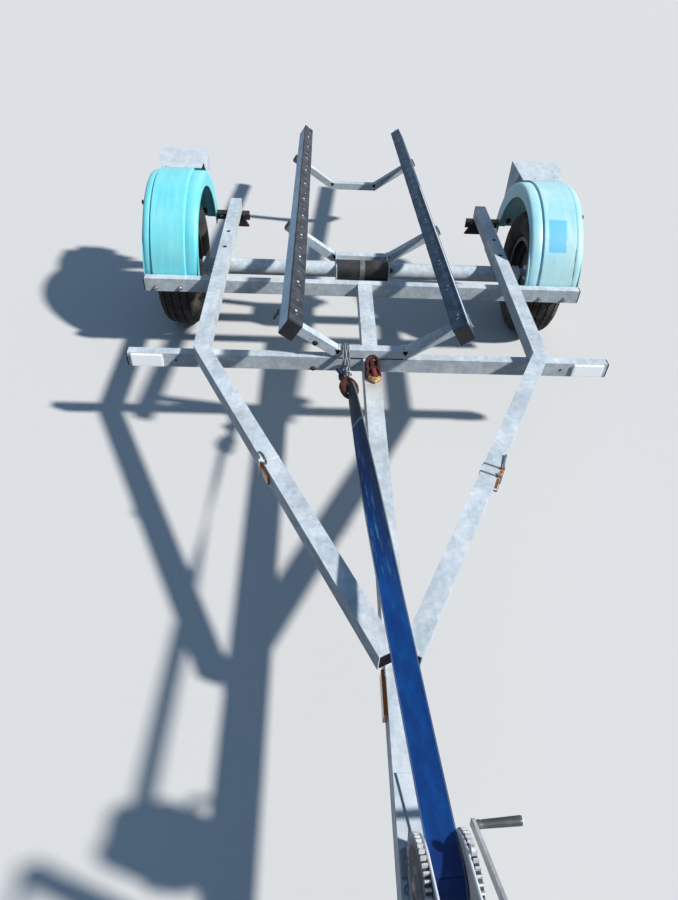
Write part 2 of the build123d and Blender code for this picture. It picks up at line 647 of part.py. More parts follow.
def coupling_handle():
    """The release lever on the head, rising to the rear."""
    z = NECK_TOP
    y = DRAWBAR_FRONT_Y - 40
    plane = Plane(origin=(-11, 0, 0), x_dir=(0, 1, 0), z_dir=(1, 0, 0))
    outline = Polygon((y - 18, z), (y + 10, z), (y + 26, z + 26), (y + 120, z + 52), (y + 122, z + 62),
                      (y + 20, z + 38), (y - 14, z + 26), align=None)
    return extrude(plane * outline, 22, dir=(1, 0, 0))


def jockey_clamp():
    """A plate on the side of the drawbar with a split ring round the jockey tube."""
    z = FRAME_TOP - DRAWBAR_HEIGHT / 2
    z0 = z - CLAMP_HEIGHT / 2
    z1 = z + CLAMP_HEIGHT / 2
    ears = JOCKEY_X - JOCKEY_RADIUS - CLAMP_EAR
    half = CLAMP_HEIGHT
    body = rod((JOCKEY_X, JOCKEY_Y, z0), (JOCKEY_X, JOCKEY_Y, z1), JOCKEY_RADIUS + 5)
    body += block((-DRAWBAR_WIDTH / 2 - 8, -DRAWBAR_WIDTH / 2), (JOCKEY_Y - half, JOCKEY_Y + half), (z0, z1))
    body += block((ears, JOCKEY_X), (JOCKEY_Y - 9, JOCKEY_Y + 9), (z0 + 4, z1 - 4))
    body -= block((ears - 1, JOCKEY_X), (JOCKEY_Y - 2, JOCKEY_Y + 2), (z0 - 1, z1 + 1))
    return body - rod((JOCKEY_X, JOCKEY_Y, z0 - 1), (JOCKEY_X, JOCKEY_Y, z1 + 1), JOCKEY_RADIUS)


def jockey_tube():
    at = (JOCKEY_X, JOCKEY_Y)
    body = ring((*at, JOCKEY_BOTTOM), (*at, JOCKEY_TOP), JOCKEY_RADIUS, JOCKEY_RADIUS - JOCKEY_WALL)
    return body + rod((*at, JOCKEY_TOP), (*at, JOCKEY_TOP + 8), JOCKEY_RADIUS + 2)


def jockey_handle():
    """The folding crank on top of the jockey tube."""
    x, y = JOCKEY_X, JOCKEY_Y
    z = JOCKEY_TOP + 8
    body = rod((x, y, z), (x, y, z + 18), 8)
    body += block((x - 9, x + 9), (y - HANDLE_REACH - 9, y + 9), (z + 18, z + 24))
    return body + rod((x, y - HANDLE_REACH, z + 24), (x, y - HANDLE_REACH, z + 24 + HANDLE_RISE), 11)


def jockey_leg():
    """The inner tube, closed at its foot round the swivel pin."""
    at = (JOCKEY_X, JOCKEY_Y)
    outer = JOCKEY_RADIUS - JOCKEY_WALL - INNER_FIT
    body = ring((*at, LEG_FOOT), (*at, LEG_TOP), outer, outer - 3)
    body += rod((*at, LEG_FOOT), (*at, LEG_FOOT + 14), outer - 1)
    return body - rod((*at, LEG_FOOT - 1), (*at, LEG_FOOT + 15), 8 + INNER_FIT)


def jockey_fork():
    """The fork: crown, two cheeks and the axle bolt, with the swivel pin above."""
    x, y = JOCKEY_X, JOCKEY_Y
    wheel_y = y + CASTER_TRAIL
    inner = CASTER_WIDTH / 2 + FORK_GAP
    outer = inner + FORK_WALL
    crown = LEG_FOOT - 2
    body = block((x - outer, x + outer), (y - 24, y + 40), (crown - FORK_WALL, crown))
    plane = Plane(origin=(0, 0, 0), x_dir=(0, 1, 0), z_dir=(1, 0, 0))
    cheek = Polygon((y - 24, crown), (y + 40, crown), (wheel_y + 17, CASTER_RADIUS - 6),
                    (wheel_y + 10, CASTER_RADIUS - 17), (wheel_y - 10, CASTER_RADIUS - 17),
                    (wheel_y - 17, CASTER_RADIUS - 6), align=None)
    for start in (x - outer, x + inner):
        body += Pos(start, 0, 0) * extrude(plane * cheek, FORK_WALL, dir=(1, 0, 0))
    body += rod((x - outer - 6, wheel_y, CASTER_RADIUS), (x + outer + 6, wheel_y, CASTER_RADIUS), 6)
    pin = rod((x, y, crown - 2), (x, y, LEG_FOOT + 14.4), 8)
    return body + pin + rod((x, y, LEG_FOOT + 14.4), (x, y, LEG_FOOT + 19), 12)


def caster(inner, outer, half, crown):
    """A wheel ring of revolution on the caster axle, with its rim crowned by a chamfer."""
    section = Polygon((-half, inner), (half, inner), (half, outer - crown), (half - crown, outer),
                      (crown - half, outer), (-half, outer - crown), align=None)
    return Pos(JOCKEY_X, JOCKEY_Y + CASTER_TRAIL, CASTER_RADIUS) * revolve(section, Axis.X)


def pair(shape):
    """The right-hand piece and its mirror image, as two solids of one node."""
    return shape + mirror(shape, Plane.YZ)


def lamp_bracket():
    """A folded plate over the back of the right mudguard, with a rear face for the lamp."""
    w = BRACKET_WALL
    middle = GUARD_X + BRACKET_SHIFT
    x = (middle - BRACKET_WIDTH / 2, middle + BRACKET_WIDTH / 2)
    y0, y1 = BRACKET_Y
    z = BRACKET_Z
    cut_x, cut_y = BRACKET_CORNER
    outline = Polygon((x[0], y0), (x[1] - cut_x, y0), (x[1], y0 + cut_y), (x[1], y1), (x[0], y1), align=None)
    body = extrude(Plane.XY.offset(z - w) * outline, w, dir=(0, 0, 1))
    body += block(x, (y1 - w, y1), (z - BRACKET_DROP, z))
    plane = Plane(origin=(x[0], 0, 0), x_dir=(0, 1, 0), z_dir=(1, 0, 0))
    gusset = Polygon((y0 + 60, z), (y1, z), (y1, z - BRACKET_DROP), align=None)
    body += extrude(plane * gusset, w, dir=(1, 0, 0))
    outer = guard_profile(0.1)
    section = Polygon((outer[0][0], 0), *outer, *[(-a, r) for a, r in outer[::-1]], (-outer[0][0], 0), align=None)
    return body - Pos(GUARD_X, GUARD_Y, GUARD_Z) * revolve(section, Axis.X)


def rear_lamp():
    """A combination lamp on the rear face of its bracket."""
    dx, dy, dz = LAMP_SIZE
    z = BRACKET_Z - 16 - dz / 2
    body = Pos(GUARD_X + BRACKET_SHIFT, BRACKET_Y[1] + dy / 2, z) * Box(dx, dy, dz)
    return chamfer(body.edges().filter_by(Axis.X).group_by(Axis.Y)[-1], 8)


def guard_stay():
    """An angle under the rail's rear end that carries the mudguard's foot."""
    x = (STAY_X, GUARD_X - GUARD_WIDTH / 2)
    low = FRAME_TOP - STAY_Y[1] + STAY_Y[0]
    body = block(x, (STAY_Y[1] - STAY_WALL, STAY_Y[1]), (low, FRAME_TOP))
    return body + block(x, STAY_Y, (FRAME_TOP - STAY_WALL, FRAME_TOP))


def triangle_reflector():
    """A triangular reflector on the back of the stay, point up."""
    x = STAY_X + 48
    top = FRAME_TOP - 2
    plane = Plane(origin=(0, STAY_Y[1], 0), x_dir=(1, 0, 0), z_dir=(0, -1, 0))
    outline = Polygon((x - 42, top - 70), (x + 42, top - 70), (x, top), align=None)
    return extrude(plane * outline, 8, dir=(0, 1, 0))


def front_reflector():
    x0, x1 = FRONT_REFLECTOR_X
    return block((x0, x1), (FRONT_BEAM_Y - 6, FRONT_BEAM_Y), (FRAME_TOP - 46, FRAME_TOP - 3))


def amber_reflectors():
    """One on the outer face of each rail's slanting part, one on each side of the drawbar."""
    back, front = rail_axis(1)[1:]
    along = (Vector(*front, 0) - Vector(*back, 0)).normalized()
    out = Vector(-along.Y, along.X, 0)
    share = (AMBER_RAIL_Y - back[1]) / (front[1] - back[1])
    spot = Vector(*back, RAIL_TOP - 24) + along * (share * math.dist(back, front))
    spot += out * (RAIL_WIDTH / 2)
    small = Rectangle(AMBER_RAIL_SIZE[0], AMBER_RAIL_SIZE[1])
    on_rail = extrude(Plane(origin=spot, x_dir=along, z_dir=out) * small, AMBER_RAIL_SIZE[2])
    size = Rectangle(AMBER_SIZE[0], AMBER_SIZE[1])
    side = Plane(origin=(DRAWBAR_WIDTH / 2, AMBER_DRAWBAR_Y, FRAME_TOP - 26), x_dir=(0, 1, 0), z_dir=(1, 0, 0))
    on_drawbar = extrude(side * size, AMBER_SIZE[2])
    return pair(on_rail + on_drawbar)


def saddle_bracket():
    """The folded saddle on the axle tube that carries the middle cradle."""
    half = SADDLE_WIDTH / 2
    w = SADDLE_WALL
    floor = AXLE_Z - AXLE_RADIUS
    y0, y1 = SADDLE_Y
    body = block((-half, half), (y0, y1 + CRADLE_TUBE), (floor - w, floor))
    for x in ((-half, w - half), (half - w, half)):
        body += block(x, (y0, y1), (floor - w, SADDLE_TOP))
    return body - rod((-half - 1, AXLE_Y, AXLE_Z), (half + 1, AXLE_Y, AXLE_Z), AXLE_RADIUS + 0.1)


def saddle_rubber():
    """Two rubber sleeves on the tube inside the saddle, and the pad below the middle cradle."""
    inner = AXLE_RADIUS + 0.2
    end = SADDLE_WIDTH / 2 - SADDLE_WALL - 0.3
    outer = AXLE_RADIUS + SLEEVE_THICK
    at = (AXLE_Y, AXLE_Z)
    flat = block((0, end), (AXLE_Y - outer, AXLE_Y + outer), (AXLE_Z - AXLE_RADIUS + 0.2, AXLE_Z + outer))
    sleeve = ring((1.5, *at), (end, *at), outer, inner) & flat
    y = (MIDDLE_CRADLE_Y + 1, MIDDLE_CRADLE_Y + CRADLE_TUBE - 1)
    pad = block((12 - end, end - 12), y, (AXLE_Z - AXLE_RADIUS, cradle_base(MIDDLE_CRADLE_Y)))
    return pair(sleeve) + pad


def lock_shackle():
    """Two rusted shackles: one upright at the front cradle, one lying ahead of it with its pin."""
    w = SHACKLE_WIRE
    y = FRONT_BEAM_Y - w - 0.3
    z = FRAME_TOP + w + 2.5
    x = SHACKLE_X
    reach = SHACKLE_WIDTH / 2 - w
    high = FRAME_TOP + CRADLE_TUBE
    arch = [(x - reach, y, FRAME_TOP), (x - reach, y, high), (x + reach, y, high), (x + reach, y, FRAME_TOP)]
    far = y - SHACKLE_LENGTH
    near = y - w - 1
    bow = [(x - reach, far, z), (x - reach, near, z), (x + reach, near, z), (x + reach, far, z)]
    body = sweep_rod(arch, w) + sweep_rod(bow, w)
    for side in (-1, 1):
        eye = x + side * reach
        body += rod((eye - w - 1, far, z), (eye + w + 1, far, z), w + 2.5)
    return body + rod((x - reach - w - 4, far, z), (x + reach + w + 8, far, z), w - 1)


def tube_plugs():
    """Flat plugs over the open ends of the crossbeams and rails."""
    t = PLUG_THICK
    low = FRAME_TOP - BEAM_HEIGHT
    half = RAIL_WIDTH / 2
    plugs = block((RAIL_X - half, RAIL_X + half), (RAIL_REAR_Y, RAIL_REAR_Y + t), (FRAME_TOP, RAIL_TOP))
    for reach, y in ((REAR_BEAM_LENGTH / 2, 0), (FRONT_BEAM_LENGTH / 2, FRONT_BEAM_Y)):
        plugs += block((reach, reach + t), (y, y + BEAM_DEPTH), (low, FRAME_TOP))
    return pair(plugs)


def main():
    os.makedirs("parts", exist_ok=True)
    save("drawbar", drawbar())
    save("front_crossbeam", front_crossbeam())
    save("rear_crossbeam", beam((-REAR_BEAM_LENGTH / 2, REAR_BEAM_LENGTH / 2), 0))
    save("axle_tube", axle_tube())
    save("axle_plates", pair(axle_plate()))
    for name, y in (("front", FRONT_BEAM_Y), ("middle", MIDDLE_CRADLE_Y), ("rear", REAR_CRADLE_Y)):
        save(f"{name}_cradle", cradle(y, cradle_base(y)))
    for name, side in (("left", -1), ("right", 1)):
        save(f"{name}_rail", rail(side))
        save(f"{name}_swing_arm", swing_arm(side))
        save(f"{name}_tyre", tyre(side))
        save(f"{name}_rim", rim(side))
        save(f"{name}_hub", hub(side))
        save(f"{name}_mudguard", mudguard(side))
        save(f"{name}_bunk", bunk(side))
    save("saddle_bracket", saddle_bracket())
    save("saddle_rubber", saddle_rubber())
    save("guard_stays", pair(guard_stay()))
    save("lamp_brackets", pair(lamp_bracket()))
    save("rear_lamps", pair(rear_lamp()))
    save("triangle_reflectors", pair(triangle_reflector()))
    save("front_reflectors", pair(front_reflector()))
    save("amber_reflectors", amber_reflectors())
    save("tube_plugs", tube_plugs())
    save("lock_shackle", lock_shackle())
    save("winch_post", winch_post())
    save("winch_frame", yawed(winch_frame()))
    save("winch_drum", yawed(winch_drum()))
    save("winch_crank", yawed(winch_crank()))
    save("crank_grip", yawed(crank_grip()))
    save("winch_strap", yawed(winch_strap()))
    save("strap_hook", yawed(strap_hook()))
    save("cradle_rope", cradle_rope())
    save("coupling_head", coupling_head())
    save("coupling_handle", coupling_handle())
    save("jockey_clamp", jockey_clamp())
    save("jockey_tube", jockey_tube())
    save("jockey_handle", jockey_handle())
    save("jockey_leg", jockey_leg())
    save("jockey_fork", jockey_fork())
    save("jockey_rim", caster(6 + INNER_FIT, CASTER_RADIUS - 30, CASTER_WIDTH / 2 - 3, 2))
    save("jockey_tyre", caster(CASTER_RADIUS - 30, CASTER_RADIUS, CASTER_WIDTH / 2, 10))


main()
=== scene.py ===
"""Looks of a small boat trailer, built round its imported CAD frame.

Every shape is worked out in the CAD's millimetres, with Y counted from the front face of the
rear crossbeam and Z from the ground, and turned into metres when its mesh is made.
"""

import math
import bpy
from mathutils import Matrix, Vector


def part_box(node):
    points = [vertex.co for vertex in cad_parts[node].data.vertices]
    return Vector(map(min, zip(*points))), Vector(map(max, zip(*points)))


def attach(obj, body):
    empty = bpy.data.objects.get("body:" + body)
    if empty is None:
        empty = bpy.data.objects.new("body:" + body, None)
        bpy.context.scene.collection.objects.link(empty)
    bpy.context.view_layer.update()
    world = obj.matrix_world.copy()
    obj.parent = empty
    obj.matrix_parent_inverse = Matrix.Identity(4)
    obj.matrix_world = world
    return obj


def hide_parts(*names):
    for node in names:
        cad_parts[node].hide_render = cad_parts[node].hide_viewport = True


bl_info = {
    "name": "Boat Trailer Dressing",
    "version": (1, 0, 0),
    "blender": (4, 5, 0),
    "location": "View3D > Sidebar > Boat Trailer",
    "description": "Dresses a boat trailer frame with its fittings, surfaces and stage",
    "category": "Object",
}

import bpy
import numpy as np
from bpy.props import FloatProperty, FloatVectorProperty, IntProperty, PointerProperty
from mathutils import Matrix, Vector

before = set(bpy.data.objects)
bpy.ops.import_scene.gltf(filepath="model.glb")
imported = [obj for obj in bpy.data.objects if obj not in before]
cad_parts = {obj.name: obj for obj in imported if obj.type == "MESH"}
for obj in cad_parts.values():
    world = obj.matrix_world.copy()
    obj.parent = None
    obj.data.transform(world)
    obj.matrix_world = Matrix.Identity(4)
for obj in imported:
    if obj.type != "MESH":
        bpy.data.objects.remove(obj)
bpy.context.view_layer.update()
MM = 0.001
ORIGIN = np.array([0.0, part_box("rear_crossbeam")[0].y, 0.0])
LEFT, RIGHT, AHEAD, BACK, DOWN, UP = (-1, 0, 0), (1, 0, 0), (0, -1, 0), (0, 1, 0), (0, 0, -1), (0, 0, 1)


# ---------------------------------------------------------------- shapes


def outward(verts, quads, tris):
    """Turns every face round when the signed volume of a closed shape is negative."""
    halves = np.concatenate([quads[:, [0, 1, 2]], quads[:, [0, 2, 3]], tris])
    a, b, c = (verts[halves[:, i]] for i in range(3))
    if np.einsum("ij,ij->", a - verts.mean(0), np.cross(b - a, c - a)) < 0:
        quads, tris = quads[:, ::-1], tris[:, ::-1]
    return verts, quads, tris


def grid(points, around=False, along=False, caps=False):
    """Quads over a table of points; around closes its columns, along its rows, caps its two ends."""
    rows, columns = points.shape[:2]
    index = np.arange(rows * columns).reshape(rows, columns)
    if around:
        index = np.concatenate([index, index[:, :1]], 1)
    if along:
        index = np.concatenate([index, index[:1]], 0)
    quads = np.stack([index[:-1, :-1], index[:-1, 1:], index[1:, 1:], index[1:, :-1]], -1).reshape(-1, 4)
    verts = points.reshape(-1, 3)
    tris = np.zeros((0, 3), int)
    if caps:
        verts = np.concatenate([verts, points[[0, -1]].mean(1)])
        first, last = index[0], index[-1]
        near = np.full(len(first) - 1, rows * columns)
        tris = np.concatenate([np.stack([first[1:], first[:-1], near], -1),
                               np.stack([last[:-1], last[1:], near + 1], -1)])
    return outward(verts, quads, tris)


def join(*shapes):
    """One shape out of several, each with its own points."""
    verts, quads, tris, count = [], [], [], 0
    for v, q, t in shapes:
        verts.append(v)
        quads.append(q + count)
        tris.append(t + count)
        count += len(v)
    return np.concatenate(verts), np.concatenate(quads), np.concatenate(tris)


def mirrored(shape):
    """The shape's image in the plane x = 0, with its faces turned back outwards."""
    verts, quads, tris = shape
    return verts * (-1, 1, 1), quads[:, ::-1], tris[:, ::-1]


def sided(shape, side):
    """A right-hand shape for the right (side 1) or for the left (side -1)."""
    return shape if side > 0 else mirrored(shape)


def both(shape):
    """The shape on the right and its mirror image on the left."""
    return join(shape, mirrored(shape))


def unit(vectors):
    """Vectors drawn to length one: v / |v|."""
    return vectors / np.linalg.norm(vectors, axis=-1, keepdims=True)


def basis(axis):
    """Two directions square to an axis and to each other."""
    axis = unit(np.asarray(axis, float))
    other = np.array([0, 0, 1.0]) if abs(axis[2]) < 0.9 else np.array([1.0, 0, 0])
    u = unit(np.cross(other, axis))
    return axis, u, np.cross(axis, u)


def lathe(profile, at, axis, count=24, ring=False, turn=0.0):
    """A profile of (distance along the axis, radius) turned round the axis: at + axis*a + r*(u*cos + v*sin)."""
    axis, u, v = basis(axis)
    profile = np.asarray(profile, float)
    angle = np.linspace(0, 2 * np.pi, count, endpoint=False) + turn
    spoke = np.cos(angle)[:, None] * u + np.sin(angle)[:, None] * v
    points = np.asarray(at, float) + profile[:, None, :1] * axis + profile[:, None, 1:] * spoke
    return grid(points, around=True, along=ring, caps=not ring)


def flat_ring(low, high, inner, outer, at, axis, count):
    """A ring of square section: between low and high along the axis, between two radii round it."""
    return lathe([(low, inner), (low, outer), (high, outer), (high, inner)], at, axis, count, ring=True)


def spline(points, count, loop=False):
    """A Catmull-Rom curve through points, sampled evenly in its parameter."""
    p = np.asarray(points, float)
    ends = (p[-1:], p[:2]) if loop else (2 * p[:1] - p[1:2], 2 * p[-1:] - p[-2:-1])
    p = np.concatenate([ends[0], p, ends[1]])
    t = np.linspace(0, len(p) - 3, count, endpoint=not loop)
    i = np.minimum(t.astype(int), len(p) - 4)
    f = (t - i)[:, None]
    a, b, c, d = (p[i + k] for k in range(4))
    return 0.5 * (2 * b + (c - a) * f + (2 * a - 5 * b + 4 * c - d) * f**2 + (3 * b - a - 3 * c + d) * f**3)


def travel(path):
    """The distance run along a path up to each of its points: the running sum of its steps' lengths."""
    return np.concatenate([[0], np.cumsum(np.linalg.norm(np.diff(path, axis=0), axis=1))])


def resample(points, step):
    """Points spread evenly along a broken line."""
    p = np.asarray(points, float)
    run = travel(p)
    at = np.linspace(0, run[-1], max(int(run[-1] / step), 1) + 1)
    return np.stack([np.interp(at, run, column) for column in p.T], -1)


def evened(outline, step):
    """Points spread evenly round a closed outline."""
    return resample([*outline, outline[0]], step)[:-1]


def circle(radius, count, squash=1.0):
    """Points (cos, squash * sin) * radius round a circle or an ellipse."""
    angle = np.linspace(0, 2 * np.pi, count, endpoint=False)
    return np.stack([np.cos(angle), squash * np.sin(angle)], -1) * radius


def sweep(path, section, up, loop=False):
    """A closed section carried along a path: point = path + side*s + lift*t, side square to the path and up."""
    path = np.asarray(path, float)
    tangent = np.roll(path, -1, 0) - np.roll(path, 1, 0) if loop else np.gradient(path, axis=0)
    tangent = unit(tangent)
    side = unit(np.cross(tangent, np.asarray(up, float)))
    lift = np.cross(side, tangent)
    section = np.broadcast_to(section, (len(path), *section.shape[-2:]))
    points = path[:, None] + side[:, None] * section[..., :1] + lift[:, None] * section[..., 1:]
    return grid(points, around=True, along=loop, caps=not loop)


def slab(outline, low, high, at, x_dir, y_dir, edge=0.6):
    """A flat plate: its outline at low, and drawn in by edge towards its middle just under both faces."""
    outline = np.asarray(outline, float)
    middle = outline.mean(0)
    inset = outline + unit(middle - outline) * edge
    x_dir, y_dir = (unit(np.asarray(d, float)) for d in (x_dir, y_dir))
    z_dir = np.cross(x_dir, y_dir)
    layers = [(inset, low), (outline, low + edge), (outline, high - edge), (inset, high)]
    points = np.stack([np.asarray(at, float) + o[:, :1] * x_dir + o[:, 1:] * y_dir + h * z_dir for o, h in layers])
    return grid(points, around=True, caps=True)


def rounded(width, height, radius, steps=5):
    """The outline of a rectangle with round corners, about its middle."""
    turn = np.linspace(0, np.pi / 2, steps)
    arc = np.stack([np.cos(turn), np.sin(turn)], -1) * radius
    w, h = width / 2 - radius, height / 2 - radius
    back = arc[:, ::-1]
    return np.concatenate([arc + (w, h), back * (-1, 1) + (-w, h), -arc - (w, h), back * (1, -1) + (w, -h)])


def hex_bolt(at, axis, size, stub, washer=True):
    """A washer, a six-sided head with its corners turned off, and a short end of thread."""
    base = 1.8 if washer else 0.0
    top = base + size * 0.62
    head = [(base - 0.4, size * 0.9), (base + size * 0.465, size * 0.9), (top, size * 0.76)]
    shapes = [lathe(head, at, axis, 6, turn=0.3)]
    if washer:
        shapes.append(lathe([(-0.4, size * 1.12), (1.4, size * 1.12), (base, size * 1.02)], at, axis, 22))
    if stub:
        thread = [(top - 0.5, size * 0.5), (top + stub - 1, size * 0.5), (top + stub, size * 0.38)]
        shapes.append(lathe(thread, at, axis, 14))
    return join(*shapes)


def pan_head(at, axis, size):
    """A low domed screw head: radius falls along a quarter of an ellipse."""
    t = np.linspace(0, np.pi / 2, 6)[:-1]
    dome = np.stack([0.55 * size * np.sin(t), size * np.cos(t)], -1)
    return lathe([(-0.4, size), *dome, (0.55 * size, size * 0.18)], at, axis, 16)


def bead(points, radius, up=UP):
    """A weld bead: a round bar along a line whose radius ripples with two sines."""
    path = resample(points, 1.6)
    count = np.arange(len(path))
    ripple = 1 + 0.16 * np.sin(count * 1.25) + 0.08 * np.sin(count * 0.37)
    return sweep(path, circle(radius, 8)[None] * ripple[:, None, None], up)


def box_shape(low, high):
    """A box between two corners, for pieces that a Bevel modifier rounds."""
    low, high = np.asarray(low, float), np.asarray(high, float)
    ring = np.array([(0, 0), (1, 0), (1, 1), (0, 1)])
    points = np.stack([np.concatenate([ring, np.full((4, 1), k)], 1) for k in (0, 1)]) * (high - low) + low
    quads = np.array([(3, 2, 1, 0), (4, 5, 6, 7), (0, 1, 5, 4), (1, 2, 6, 5), (2, 3, 7, 6), (3, 0, 4, 7)])
    return outward(points.reshape(-1, 3), quads, np.zeros((0, 3), int))


# ---------------------------------------------------------------- surfaces


FULL_TURN = 6.2832  # in radians, as the sine nodes take it
SOCKETS = {"colour": "NodeSocketColor", "value": "NodeSocketFloat", "vector": "NodeSocketVector"}


class Nodes:
    """A node tree, with a short call for each kind of node that the finishes are made of."""

    def __init__(self, tree):
        self.tree = tree

    def feed(self, socket, value):
        """Links a socket to another one, or sets it to a plain value."""
        if isinstance(value, bpy.types.NodeSocket):
            self.tree.links.new(value, socket)
        else:
            socket.default_value = value

    def add(self, kind, inputs=None, **settings):
        """A shader node with its settings, its sockets fed by name or number."""
        made = self.tree.nodes.new("ShaderNode" + kind)
        for key, value in settings.items():
            setattr(made, key, value)
        for key, value in (inputs or {}).items():
            self.feed(made.inputs[key], value)
        return made

    def math(self, operation, first, *others, clamp=False):
        """A math node for each further value, from the left; the last one clamps where that is asked for."""
        for other in others[:-1]:
            first = self.math(operation, first, other)
        values = dict(enumerate((first, *others[-1:])))
        return self.add("Math", values, operation=operation, use_clamp=clamp).outputs[0]

    def times(self, *values, clamp=False):
        """The product of values."""
        return self.math("MULTIPLY", *values, clamp=clamp)

    def plus(self, *values, clamp=False):
        """The sum of values."""
        return self.math("ADD", *values, clamp=clamp)

    def mix(self, factor, first, second):
        """A colour that goes from first to second as the factor goes from 0 to 1."""
        return self.add("Mix", {0: factor, 6: first, 7: second}, data_type="RGBA").outputs[2]

    def span(self, value, low, high, out_low=0.0, out_high=1.0, kind="SMOOTHSTEP"):
        """A smooth or straight step of a value between two limits."""
        return self.add("MapRange", {0: value, 1: low, 2: high, 3: out_low, 4: out_high},
                        interpolation_type=kind).outputs[0]

    def noise(self, vector, scale, detail=4.0, rough=0.55, squash=None):
        """Cloudy noise on a vector, drawn out by a scale for each axis where one is given."""
        if squash is not None:
            vector = self.add("Mapping", {"Vector": vector, "Scale": squash}).outputs[0]
        return self.add("TexNoise", {"Vector": vector, "Scale": scale, "Detail": detail, "Roughness": rough}).outputs[0]

    def cells(self, vector, scale):
        """Voronoi cells: the distance to the nearest one's centre, and a colour for each."""
        return self.add("TexVoronoi", {"Vector": vector, "Scale": scale, "Randomness": 1.0}).outputs

    def axes(self, vector):
        """The three components of a vector."""
        return self.add("SeparateXYZ", {0: vector}).outputs

    def use(self, name, vector, **inputs):
        """A shared group placed on a vector, with its own values."""
        return self.add("Group", {"Vector": vector, **inputs}, node_tree=bpy.data.node_groups[name]).outputs


def mottled_zinc(n, given):
    """Zinc coat: soft grey clouds, small spangle cells and faint runs along the tube."""
    at = given["Vector"]
    cloud = n.span(n.noise(at, 14.0, 6.0, 0.6), 0.34, 0.68)
    spangle = n.add("SeparateColor", {0: n.cells(at, given["Spangle"])["Color"]}).outputs[0]
    flake = n.times(spangle, 0.34)
    runs = n.span(n.noise(at, 5.0, 3.0, 0.6, (9, 1.2, 9)), 0.4, 0.7)
    shade = n.plus(n.times(cloud, 0.42), flake, n.times(runs, 0.28), clamp=True)
    colour = n.mix(shade, given["Dark"], given["Light"])
    dots = n.span(n.cells(at, 170.0)["Distance"], 0.30, 0.16)
    where = n.span(n.noise(at, 11.0, 5.0, 0.7), 0.52, 0.66)
    colour = n.mix(n.times(dots, where, 0.55), colour, (0.84, 0.86, 0.87, 1))
    scrape = n.span(n.noise(at, 26.0, 6.0, 0.75), 0.60, 0.74)
    colour = n.mix(n.times(scrape, 0.45), colour, given["Dark"])
    height = n.plus(n.times(n.noise(at, 420.0, 2.0), 0.35), n.times(flake, 0.8))
    return colour, n.span(shade, 0.0, 1.0, 0.62, 0.42), height


def rust_patches(n, given):
    """Rust over a colour: ragged spots whose share grows with Amount."""
    at = given["Vector"]
    limit = n.math("SUBTRACT", 0.86, n.times(given["Amount"], 0.6))
    mask = n.span(n.noise(at, given["Scale"], 9.0, 0.68), limit, n.plus(limit, 0.09), kind="LINEAR")
    tone = n.noise(at, 70.0, 6.0, 0.7)
    rust = n.mix(n.span(tone, 0.35, 0.7), (0.10, 0.030, 0.014, 1), (0.42, 0.145, 0.045, 1))
    return n.mix(mask, given["Colour"], rust), mask, tone


def road_dust(n, given):
    """Dust that settles in clouds, thicker towards the ground."""
    at = given["Vector"]
    low = n.span(n.axes(at)[2], given["Top"], 0.02)
    cloud = n.span(n.noise(at, 16.0, 7.0, 0.65), 0.35, 0.72)
    mask = n.times(n.plus(n.times(low, 0.7), 0.3), cloud, given["Amount"], clamp=True)
    return n.mix(mask, given["Colour"], given["Dust"]), mask


def soft_box(n, given):
    """1 inside a box about Middle, falling to 0 over Soft outside it, with a ragged edge."""
    at = given["Vector"]
    wobble = n.add("TexNoise", {"Vector": at, "Scale": 45.0, "Detail": 4.0}).outputs[0]
    lift = n.times(n.math("SUBTRACT", wobble, 0.5), given["Ragged"])
    away = n.add("VectorMath", {0: at, 1: given["Middle"]}, operation="SUBTRACT").outputs[0]
    away = n.add("VectorMath", {0: away}, operation="ABSOLUTE").outputs[0]
    away = n.add("VectorMath", {0: away, 1: given["Half"]}, operation="SUBTRACT").outputs[0]
    x, y, z = n.axes(away)
    far = n.plus(n.math("MAXIMUM", x, y, z), lift)
    return (n.span(far, 0.0, given["Soft"], 1.0, 0.0, kind="LINEAR"),)


def woven_band(n, given):
    """Webbing on a UV map in metres: ribs along the band crossed by small picks, with paler sewn edges that are partly
    a painted highlight, and painted shade on the band's right half and on the roll.
    """
    at = given["Vector"]
    across, along, _ = n.axes(at)
    rib = n.math("SINE", n.times(across, n.math("DIVIDE", FULL_TURN, given["Rib"])))
    pick = n.math("SINE", n.times(along, n.math("DIVIDE", FULL_TURN, given["Pick"])))
    weave = n.times(n.plus(rib, 1.0), n.plus(pick, 1.0), 0.25)
    edge = n.math("GREATER_THAN", n.math("ABSOLUTE", across), given["Edge"])
    fade = n.span(n.noise(at, 14.0, 5.0, 0.6, (3, 1, 1)), 0.35, 0.75)
    far = n.span(along, 0.35, 0.75)
    tint = n.span(n.noise(at, 30.0, 4.0, 0.6, (5, 0.35, 1)), 0.52, 0.68)
    seam = n.times(n.span(along, 1.040, 1.046), n.span(along, 1.056, 1.050))
    layers = (  # share, colour over what lies below
        (n.times(weave, 0.12), given["Worn"]),
        (n.times(tint, far, 0.55), (0.16, 0.36, 0.48, 1)),
        # painted shade: the band's right half, turned away from the light, darker away from the winch
        (n.times(n.span(across, -0.004, 0.006), far, 0.75), (0.008, 0.018, 0.05, 1)),
        (n.times(n.span(along, 1.055, 1.075), 0.85), (0.022, 0.027, 0.036, 1)),
        (n.times(seam, 0.8), (0.22, 0.34, 0.42, 1)),
        # painted shade on the roll, where the strap bends round the drum
        (n.times(n.span(along, 0.045, 0.02), 0.6), (0.004, 0.012, 0.085, 1)),
        # pale edges: sewn selvedge, partly a painted highlight where the edges catch the light
        (n.times(edge, n.plus(0.22, n.times(far, 0.6))), given["Selvedge_And_Highlight"]))
    colour = n.mix(fade, given["Deep"], given["Worn"])
    for share, over in layers:
        colour = n.mix(share, colour, over)
    return colour, weave


